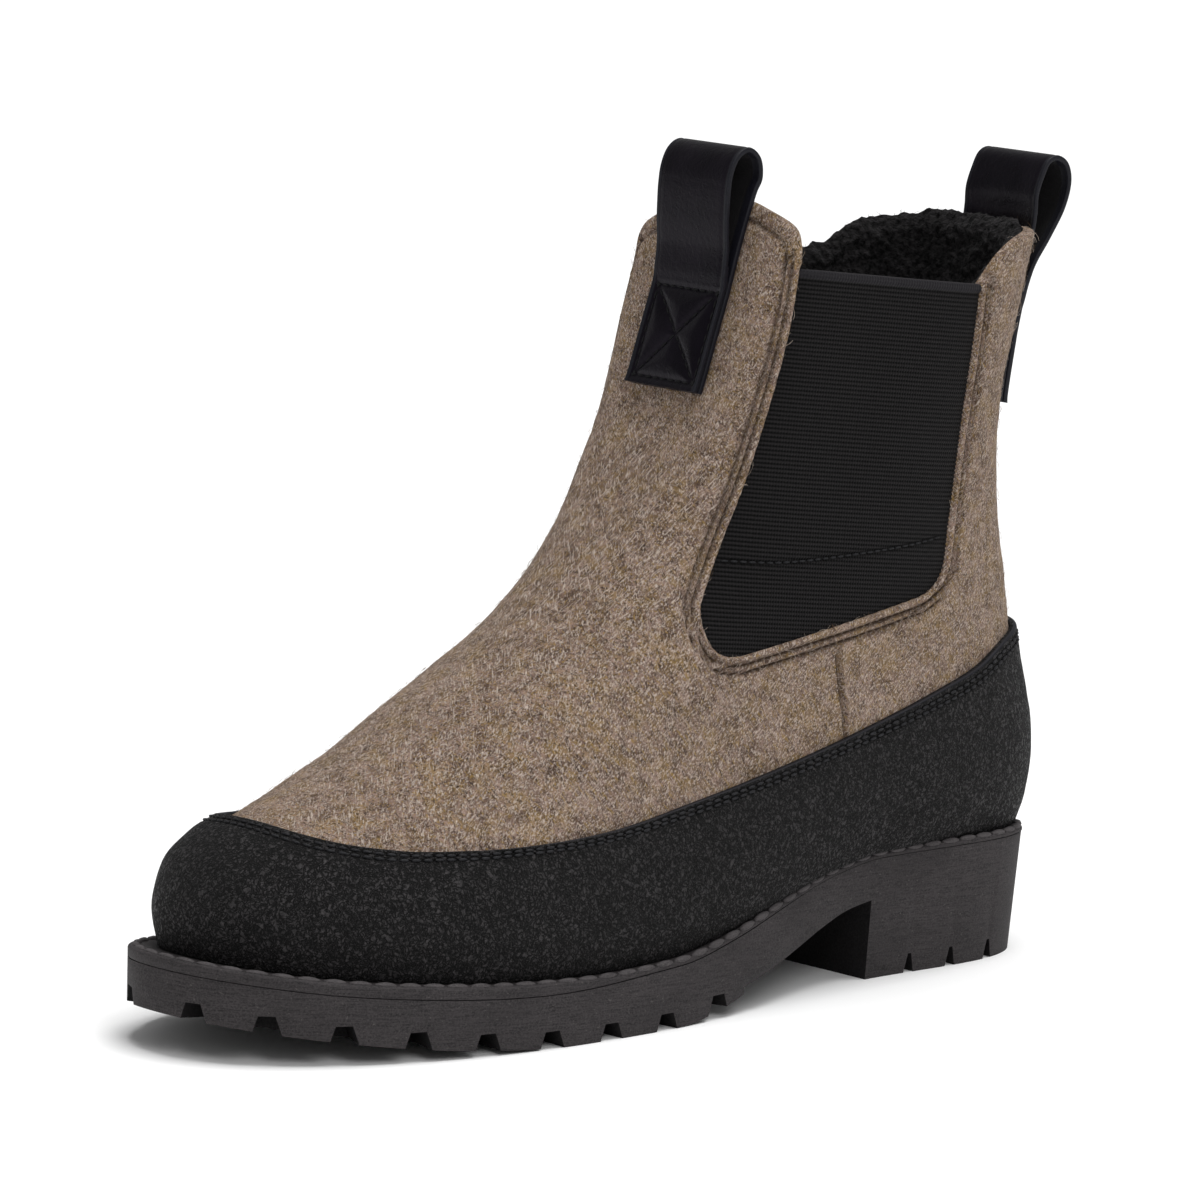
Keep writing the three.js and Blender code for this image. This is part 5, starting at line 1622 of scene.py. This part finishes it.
def noise(tree: bpy.types.NodeTree, size: Sequence[float], turn: Sequence[float] = (0, 0, 0), detail: float = 2.0,
          roughness: float = 0.5, distortion: float = 0.0, uv: bool = False) -> bpy.types.NodeSocket:
    """Noise whose lumps have a size in millimetres along each axis.

    Args:
        tree: Material tree.
        size: Size of a lump along X, Y and Z.
        turn: Turn of the axes in radians.
        detail: Number of finer layers.
        roughness: Weight of the finer layers.
        distortion: Bending of the lumps.
        uv: Reads the piece's own UV, in millimetres, and not its object coordinates.

    Returns:
        Noise value around 0.5.
    """
    place = add(tree, "ShaderNodeTexCoord")
    unit = 1.0 if uv else 1 / MM
    scale = tuple(unit / s for s in size)
    turned = add(tree, "ShaderNodeVectorRotate", {"Vector": place.outputs["UV" if uv else "Object"], "Rotation": turn},
                 rotation_type="EULER_XYZ")
    scaled = add(tree, "ShaderNodeVectorMath", {0: turned.outputs[0], 1: scale}, operation="MULTIPLY")
    made = add(tree, "ShaderNodeTexNoise", {
        "Vector": scaled.outputs[0], "Scale": 1.0, "Detail": detail, "Roughness": roughness,
        "Distortion": distortion,
    })
    return made.outputs["Fac"]


def between(tree: bpy.types.NodeTree, value: bpy.types.NodeSocket, low: float, high: float,
            out_low: float = 0.0, out_high: float = 1.0) -> bpy.types.NodeSocket:
    """Value stretched from one range to another, clamped."""
    made = add(tree, "ShaderNodeMapRange", {
        "Value": value, "From Min": low, "From Max": high, "To Min": out_low, "To Max": out_high,
    })
    return made.outputs[0]


def bump(tree: bpy.types.NodeTree, height: bpy.types.NodeSocket, depth: float, strength: float = 1.0,
         over: bpy.types.NodeSocket | None = None) -> bpy.types.NodeSocket:
    """Bumped normal of a height between 0 and 1 that stands for a depth in millimetres."""
    inputs = {"Height": height, "Distance": depth * MM, "Strength": strength}
    if over is not None:
        inputs["Normal"] = over
    return add(tree, "ShaderNodeBump", inputs).outputs[0]


@dataclass(frozen=True)
class Finish:
    """Base of all finishes: a named material with one shader."""

    name: str

    def start(self) -> tuple[bpy.types.Material, bpy.types.NodeTree, bpy.types.Node]:
        """Makes an empty material with its shader."""
        made = bpy.data.materials.new(self.name)
        made.use_nodes = True
        tree = made.node_tree
        tree.nodes.clear()
        shader = add(tree, "ShaderNodeBsdfPrincipled")
        out = add(tree, "ShaderNodeOutputMaterial")
        tree.links.new(shader.outputs[0], out.inputs[0])
        return made, tree, shader

    def set(self, shader: bpy.types.Node, **values: object) -> None:
        """Sets or links sockets of the shader; underscores stand for spaces."""
        for key, value in values.items():
            socket = shader.inputs[key.replace("_", " ")]
            if isinstance(value, bpy.types.NodeSocket):
                socket.id_data.links.new(value, socket)
            else:
                socket.default_value = value


@dataclass(frozen=True)
class WoolFelt(Finish):
    """Fulled melange wool: taupe with pale, ochre and dark fibres lying every way."""

    low: str = "58453b"
    high: str = "937c70"
    pale: str = "cfc0b4"
    ochre: str = "8f7440"
    dark: str = "30241d"

    def build(self) -> bpy.types.Material:
        """Makes the material."""
        made, tree, shader = self.start()
        cloud = noise(tree, (4.2, 4.2, 4.2), detail=5, roughness=0.68)
        colour = mixed(tree, between(tree, cloud, 0.39, 0.61), linear(self.low), linear(self.high))
        warm = noise(tree, (7, 7, 5), (0.4, 0.2, 0.9), detail=4, roughness=0.6)
        colour = mixed(tree, between(tree, warm, 0.48, 0.66, 0.0, 0.5), colour, linear(self.ochre))
        broad = noise(tree, (38, 38, 38), detail=2)
        colour = mixed(tree, between(tree, broad, 0.3, 0.7, 0.0, 0.16), colour, linear(self.low))
        height = between(tree, cloud, 0.3, 0.7, 0.3, 0.6)
        layers = (
            (self.ochre, (3.4, 0.5, 0.5), (0.3, 0.9, 0.5), 0.54, 0.64, 0.8, 0.1),
            (self.dark, (2.8, 0.48, 0.48), (1.1, 0.2, 1.3), 0.54, 0.66, 0.8, -0.6),
            (self.dark, (0.48, 2.4, 0.48), (0.5, 1.9, 0.4), 0.55, 0.66, 0.75, -0.6),
            (self.pale, (2.8, 0.4, 0.4), (0.9, 0.4, 2.2), 0.55, 0.66, 0.72, 0.6),
            (self.pale, (0.4, 0.4, 2.6), (0.4, 0.7, 0.2), 0.56, 0.67, 0.7, 0.6),
            (self.pale, (0.4, 2.2, 0.4), (1.7, 0.3, 0.9), 0.58, 0.69, 0.6, 0.5),
        )
        for code, size, turn, low, high, share, lift in layers:
            streak = between(tree, noise(tree, size, turn, 2.5, 0.55, 0.35), low, high)
            colour = mixed(tree, math_node(tree, "MULTIPLY", streak, share), colour, linear(code))
            height = math_node(tree, "ADD", height, math_node(tree, "MULTIPLY", streak, lift))
        # Sewn grooves and the back seam are mixed toward the dark fibre tone: painted shade in the recesses
        groove_and_shade = add(tree, "ShaderNodeAttribute", attribute_name="groove_and_shade").outputs["Fac"]
        colour = mixed(tree, math_node(tree, "MULTIPLY", groove_and_shade, 0.55), colour, linear(self.dark))
        fine = bump(tree, height, 0.3, 0.8)
        lumps = bump(tree, noise(tree, (7, 7, 7), detail=2), 0.5, 0.6, fine)
        self.set(shader, Base_Color=colour, Roughness=0.95, Normal=lumps, Sheen_Weight=0.15, Sheen_Roughness=0.5,
                 Specular_IOR_Level=0.15)
        shader.inputs["Sheen Tint"].default_value = linear("cbb9a8")
        return made


@dataclass(frozen=True)
class Cloth(Finish):
    """Matt textile of one yarn: base tone, fine thread relief and sheen."""

    tone: str
    light: str
    size: tuple[float, float, float]
    depth: float
    sheen: float = 0.2
    uv: bool = False

    def build(self) -> bpy.types.Material:
        """Makes the material."""
        made, tree, shader = self.start()
        thread = noise(tree, self.size, detail=3, roughness=0.6, uv=self.uv)
        drift = noise(tree, (14, 14, 14), detail=2)
        colour = mixed(tree, between(tree, thread, 0.35, 0.7), linear(self.tone), linear(self.light))
        colour = mixed(tree, between(tree, drift, 0.35, 0.65, 0.0, 0.35), colour, linear(self.tone))
        self.set(shader, Base_Color=colour, Roughness=0.9, Normal=bump(tree, thread, self.depth),
                 Sheen_Weight=self.sheen, Sheen_Roughness=0.45, Specular_IOR_Level=0.08)
        return made


@dataclass(frozen=True)
class Elastic(Finish):
    """Black elastic webbing: ribs stand in the mesh, the yarns between them in bump; the rib crests carry a painted
    highlight and the seam groove painted shade.
    """

    tone: str = "030303"
    light: str = "272526"
    yarn: float = 0.9
    rib: float = 1.1
    hem: str = "28262a"

    def build(self) -> bpy.types.Material:
        """Makes the material."""
        made, tree, shader = self.start()
        place = add(tree, "ShaderNodeTexCoord")
        scaled = add(tree, "ShaderNodeVectorMath", {0: place.outputs["UV"], 1: (1 / self.yarn, 0, 0)},
                     operation="MULTIPLY")
        wave = add(tree, "ShaderNodeTexWave", {
            "Vector": scaled.outputs[0], "Scale": 0.314159, "Distortion": 1.6, "Detail": 2.0, "Detail Scale": 2.0,
        }, bands_direction="X")
        fuzz = noise(tree, (0.9, 0.3, 1), detail=4, roughness=0.7, uv=True)
        height = math_node(tree, "ADD", math_node(tree, "MULTIPLY", wave.outputs["Fac"], 0.4), fuzz)
        across = add(tree, "ShaderNodeSeparateXYZ", {0: place.outputs["UV"]})
        # Rib crests are mixed toward the light tone: painted highlight on the rib tops, added to the yarn tone
        turn = math_node(tree, "MULTIPLY", across.outputs["Y"], 2 * math.pi / self.rib)
        crest_highlight = math_node(tree, "COSINE", turn, 0.0)
        yarn_and_crest_highlight = math_node(tree, "ADD", math_node(tree, "MULTIPLY", height, 0.6), math_node(tree, "MULTIPLY", crest_highlight, 0.5))
        colour = mixed(tree, between(tree, yarn_and_crest_highlight, 0.0, 1.3), linear(self.tone), linear(self.light))
        hem = between(tree, across.outputs["Y"], -2.4, -2.1, 0.0, 0.6)
        colour = mixed(tree, hem, colour, linear(self.hem))
        # Seam groove darkened to near black: painted shade in the recess
        groove_and_shade = add(tree, "ShaderNodeAttribute", attribute_name="groove_and_shade").outputs["Fac"]
        colour = mixed(tree, math_node(tree, "MULTIPLY", groove_and_shade, 0.8), colour, linear("040404"))
        self.set(shader, Base_Color=colour, Roughness=0.7, Normal=bump(tree, height, 0.3, 1.0), Sheen_Weight=0.02,
                 Sheen_Roughness=0.4, Specular_IOR_Level=0.12)
        return made


@dataclass(frozen=True)
class PebbledLeather(Finish):
    """Black crackled leather: raised grains with a painted highlight on their tips, and dull creases between them
    darkened as painted shade.
    """

    tone: str = "020202"
    grain_tone: str = "211f20"
    tip_highlight: str = "423f40"
    grain: float = 1.6

    def build(self) -> bpy.types.Material:
        """Makes the material."""
        made, tree, shader = self.start()
        g = self.grain
        raised = 1.0
        for turn in ((0, 0, 0), (0.7, 0.4, 1.9)):
            level = math_node(tree, "SUBTRACT", noise(tree, (g,) * 3, turn, 2, 0.55, 0.4), 0.5)
            crack = between(tree, math_node(tree, "ABSOLUTE", level, 0.0), 0.008, 0.085)
            raised = math_node(tree, "MINIMUM", raised, crack)
        fine = noise(tree, (g / 2.4,) * 3, detail=3, roughness=0.65, distortion=0.8)
        height = math_node(tree, "ADD", raised, math_node(tree, "MULTIPLY", fine, 0.7))
        drift = noise(tree, (16, 16, 16), detail=3)
        # Cracks take the near-black tone: painted shade in the creases
        colour = mixed(tree, raised, linear(self.tone), linear(self.grain_tone))
        # Lighter tone on the raised grain tips: painted highlight
        highlit_tips = math_node(tree, "MULTIPLY", raised, between(tree, fine, 0.42, 0.66))
        highlit_tips = math_node(tree, "MULTIPLY", highlit_tips, between(tree, drift, 0.35, 0.65, 0.5, 0.85))
        colour = mixed(tree, highlit_tips, colour, linear(self.tip_highlight))
        self.set(shader, Base_Color=colour, Roughness=between(tree, height, 0.3, 1.5, 0.9, 0.5),
                 Normal=bump(tree, height, 0.7, 1.0), Specular_IOR_Level=0.22)
        return made


@dataclass(frozen=True)
class SmoothLeather(Finish):
    """Smooth black leather with fine pores, soft creases and a faint violet sheen."""

    tone: str = "060508"
    light: str = "0f0c12"
    rough: float = 0.27

    def build(self) -> bpy.types.Material:
        """Makes the material."""
        made, tree, shader = self.start()
        pores = noise(tree, (0.55, 0.55, 0.4), detail=3, roughness=0.6, distortion=0.3)
        rub = noise(tree, (9, 9, 14), detail=3)
        creases = noise(tree, (5, 1.3, 1.3), (0.2, 0.5, 0.3), 3, 0.6, 0.6)
        colour = mixed(tree, between(tree, rub, 0.3, 0.7), linear(self.tone), linear(self.light))
        normal = bump(tree, creases, 0.2, 0.55, bump(tree, pores, 0.07, 0.8))
        self.set(shader, Base_Color=colour, Roughness=between(tree, rub, 0.3, 0.7, self.rough - 0.03, self.rough + 0.08),
                 Normal=normal, Sheen_Weight=0.01, Sheen_Roughness=0.35, Specular_IOR_Level=0.12)
        shader.inputs["Sheen Tint"].default_value = linear("b9a9c4")
        shader.inputs["Specular Tint"].default_value = linear("e9ddf2")
        return made


@dataclass(frozen=True)
class Rubber(Finish):
    """Charcoal rubber, sanded along the sides, with dust in its marks."""

    tone: str = "1c1a1b"
    light: str = "433f40"
    dust: str = "5f5b59"

    def build(self) -> bpy.types.Material:
        """Makes the material."""
        made, tree, shader = self.start()
        marks = noise(tree, (6, 6, 0.34), (0.02, 0.03, 0), detail=4, roughness=0.7)
        grit = noise(tree, (0.55, 0.55, 0.45), detail=3, roughness=0.7)
        drift = noise(tree, (20, 20, 12), detail=3)
        colour = mixed(tree, between(tree, marks, 0.38, 0.62, 0.0, 0.7), linear(self.tone), linear(self.light))
        colour = mixed(tree, between(tree, grit, 0.42, 0.62, 0.0, 0.75), colour, linear(self.light))
        specks = between(tree, noise(tree, (0.9, 0.9, 0.6), (0.3, 0.1, 0.2), detail=2), 0.66, 0.74, 0.0, 0.5)
        colour = mixed(tree, specks, colour, linear(self.dust))
        colour = mixed(tree, between(tree, drift, 0.4, 0.7, 0.0, 0.3), colour, linear(self.tone))
        normal = bump(tree, grit, 0.14, 0.9, bump(tree, marks, 0.12, 0.8))
        self.set(shader, Base_Color=colour, Roughness=between(tree, marks, 0.3, 0.7, 0.62, 0.8), Normal=normal,
                 Specular_IOR_Level=0.2)
        return made


@dataclass(frozen=True)
class Plain(Finish):
    """Thread, painted edge or floor: a tone with a slight grain."""

    tone: str
    light: str
    rough: float
    size: float = 0.4
    depth: float = 0.03
    specular: float = 0.2

    def build(self) -> bpy.types.Material:
        """Makes the material."""
        made, tree, shader = self.start()
        grain = noise(tree, (self.size,) * 3, detail=3)
        colour = mixed(tree, between(tree, grain, 0.35, 0.65), linear(self.tone), linear(self.light))
        self.set(shader, Base_Color=colour, Roughness=self.rough, Normal=bump(tree, grain, self.depth, 0.6),
                 Specular_IOR_Level=self.specular)
        return made


# Studio


@dataclass(frozen=True)
class Studio:
    """Camera of the photograph, pale floor and soft light; places are in the boot's own millimetres."""

    eye: tuple[float, float, float] = (1478.29, 1574.44, 429.26)
    aim: tuple[float, float, float] = (133.74, 0, 99.52)
    roll: float = 1.2216
    lens: float = 251.76
    world: float = 0.34
    sun: float = 2.45
    floor: float = 9.0

    def build(self, last: Last, finish: Finish) -> None:
        """Makes the camera, the floor and the lights."""
        scene = bpy.context.scene
        scene.view_settings.view_transform = "Standard"
        eye, aim = (Vector((np.array(p) + last.shift) * MM) for p in (self.eye, self.aim))
        forward = (aim - eye).normalized()
        level = forward.cross(Vector((0, 0, 1))).normalized()
        over = level.cross(forward)
        c, s = math.cos(math.radians(self.roll)), math.sin(math.radians(self.roll))
        right, up = level * c + over * s, over * c - level * s
        data = bpy.data.cameras.new("camera")
        data.lens, data.sensor_width = self.lens, 36
        camera = bpy.data.objects.new("camera", data)
        camera.matrix_world = Matrix.Translation(eye) @ Matrix((right, up, -forward)).transposed().to_4x4()
        scene.collection.objects.link(camera)
        scene.camera = camera
        mesh = bpy.data.meshes.new("floor")
        f = self.floor
        mesh.from_pydata([(-f, -f, 0), (f, -f, 0), (f, f, 0), (-f, f, 0)], [], [(0, 1, 2, 3)])
        ground = bpy.data.objects.new("floor", mesh)
        scene.collection.objects.link(ground)
        mesh.materials.append(finish.build())
        world = bpy.data.worlds.new("studio")
        world.use_nodes = True
        world.node_tree.nodes["Background"].inputs[0].default_value = (1, 1, 1, 1)
        world.node_tree.nodes["Background"].inputs[1].default_value = self.world
        scene.world = world
        sun = bpy.data.lights.new("sun", "SUN")
        sun.energy, sun.angle = self.sun, math.radians(40)
        lamp = bpy.data.objects.new("sun", sun)
        lamp.matrix_world = Vector((0.15, -0.08, -1)).to_track_quat("-Z", "Y").to_matrix().to_4x4()
        scene.collection.objects.link(lamp)
        self.lamp("key", (0.45, 1.4, 1.25), (0.05, 0, 0.1), 0.8, 8)

    def lamp(self, name: str, place: Sequence[float], aim: Sequence[float], size: float, power: float) -> None:
        """Adds a square soft light that faces a point."""
        data = bpy.data.lights.new(name, "AREA")
        data.size, data.energy = size, power
        lamp = bpy.data.objects.new(name, data)
        direction = Vector(aim) - Vector(place)
        lamp.matrix_world = Matrix.Translation(place) @ direction.to_track_quat("-Z", "Y").to_matrix().to_4x4()
        bpy.context.scene.collection.objects.link(lamp)


# Assembly


def set_uv(piece: bpy.types.Object, values: Array) -> None:
    """Gives a piece a UV map from one pair a point, in millimetres."""
    layer = piece.data.uv_layers.new(name="lay")
    corners = np.empty(len(piece.data.loops), int)
    piece.data.loops.foreach_get("vertex_index", corners)
    layer.data.foreach_set("uv", values[corners].astype(np.float32).ravel())


def main() -> None:
    """Builds the boot and its studio, in order."""
    logging.basicConfig(level=logging.INFO, format="%(message)s", stream=sys.stdout)
    last = Last()
    pattern = Pattern(last)
    Studio().build(last, Plain("pale_floor", "ffffff", "ffffff", 0.9, 50, 0.01, 0.0))
    felt = WoolFelt("melange_wool_felt").build()
    elastic = Elastic("black_elastic").build()
    pebbled = PebbledLeather("pebbled_black_leather").build()
    smooth_black = SmoothLeather("smooth_black_leather").build()
    suede = Cloth("black_suede", "0f0e0f", "1f1d1f", (0.35, 0.35, 0.35), 0.12, 0.06).build()
    painted = Plain("painted_edge", "0c0c12", "17171f", 0.5).build()
    rubber = Rubber("charcoal_rubber").build()
    tread_rubber = Plain("moulded_tread_rubber", "0b0a0b", "1c1a1b", 0.6, 0.5, 0.04, 0.12).build()
    # Moulded welt stitches are the welt's own rubber in lighter tones: a painted highlight on the raised stitches
    highlit_stitch_rubber = Rubber("stitch_rubber_painted_highlight", "353233", "555152").build()
    fleece = Cloth("black_fleece", "040404", "2e2c2d", (1.3, 1.3, 1.3), 1.1, 0.04).build()
    brown_thread = Plain("brown_thread", "291e17", "4a3b2f", 0.85, 0.25).build()
    strap_thread = Plain("strap_thread", "050505", "121214", 0.7, 0.25, 0.1).build()
    black_thread = Plain("black_thread", "0d0d0f", "2a2a2d", 0.6, 0.25).build()
    pale_fibre = Plain("pale_wool_fibre", "9c8b7d", "d6c9bd", 0.9, 0.5, 0.01, 0.15).build()
    dark_fibre = Plain("dark_wool_fibre", "33281f", "6a5742", 0.9, 0.5, 0.01, 0.15).build()
    black_fibre = Plain("black_fibre", "080808", "1e1d1e", 0.8, 0.5, 0.01, 0.1).build()

    upper = FeltUpper(last, pattern)
    shell = settle(upper.build(), "felt", felt, "upper")
    sew, scatter = stitch_tree(), fibre_tree()
    rand = Rand(last, pattern)
    band = rand.build()
    band.data.materials.append(pebbled)
    band.data.materials.append(painted)
    settle(band, "rand_leather", pebbled, "rand")
    gore = Gore(last, pattern)
    for side in Side:
        settle(gore.build(side), "elastic", elastic, f"gore_{side.name.lower()}")
        seam = Sewing(2.6, 2.0, 0.5, 0.5).sew(f"gore_seam_{side.name.lower()}", [gore.seam(side)], sew,
                                               black_thread, last)
        settle(seam, "elastic", black_thread)
    lining = settle(Lining(last, pattern).build(), "insole_board", fleece)
    tufts = bpy.data.objects.new("fleece_tufts", lining.data.copy())
    bpy.context.scene.collection.objects.link(tufts)
    run_tree(tufts, scatter, {"Density": 6e5, "Length": 1.5 * MM, "Radius": 0.04 * MM, "Lift": 1.0, "Seed": 9,
                              "Material": black_fibre})
    settle(tufts, "insole_board", black_fibre)
    settle(Footbed(last).build(), "insole_board", fleece, "insole")
    loops = (
        PullLoop(last, End.FRONT, 176.0, 36.0, FRONT_LOOP, 199.92, patch=26.0),
        PullLoop(last, End.BACK, 167.0, 39.0, REAR_LOOP, 186.87, lean=2.6),
    )
    for loop in loops:
        end = loop.end
        strap = loop.build()
        for material in (smooth_black, suede, painted):
            strap.data.materials.append(material)
        settle(strap, "loop_leather", smooth_black, f"pull_loop_{end.value}")
        row = Sewing(2.75, 2.1, 0.55, 0.5).sew(f"pull_loop_{end.value}_stitches", loop.seams(), sew, strap_thread,
                                               last)
        settle(row, "loop_leather", strap_thread)
    sole = Sole(last)
    settle(sole.build_outsole(rubber, tread_rubber), "sole_rubber", rubber, "outsole")
    settle(sole.build_welt(), "sole_rubber", rubber, "welt")
    moulded = Sewing(6.3, 6.0, 2.2, 1.7).sew("welt_stitches", [sole.stitch_line()], sew, highlit_stitch_rubber, last)
    settle(moulded, "sole_rubber", highlit_stitch_rubber)
    lines = [rand.line(down, 0.0) for down in rand.rows]
    settle(Sewing(3.0, 2.4, 0.75, 0.8).sew("rand_stitches", lines, sew, black_thread, last), "rand_leather",
           black_thread)
    settle(Sewing(2.7, 2.1, 0.55, 0.55).sew("felt_stitches", upper.seams(), sew, brown_thread, last), "felt", brown_thread)
    for name, material, seed, density in (("pale", pale_fibre, 1, 1.1), ("dark", dark_fibre, 2, 0.5)):
        fibres = bpy.data.objects.new(f"felt_fibres_{name}", shell.data.copy())
        bpy.context.scene.collection.objects.link(fibres)
        run_tree(fibres, scatter, {
            "Density": density * 1e5, "Length": 2.4 * MM, "Radius": 0.035 * MM, "Lift": 0.35, "Seed": seed,
            "Material": material,
        })
        settle(fibres, "felt", material)


if __name__ == "__main__":
    main()
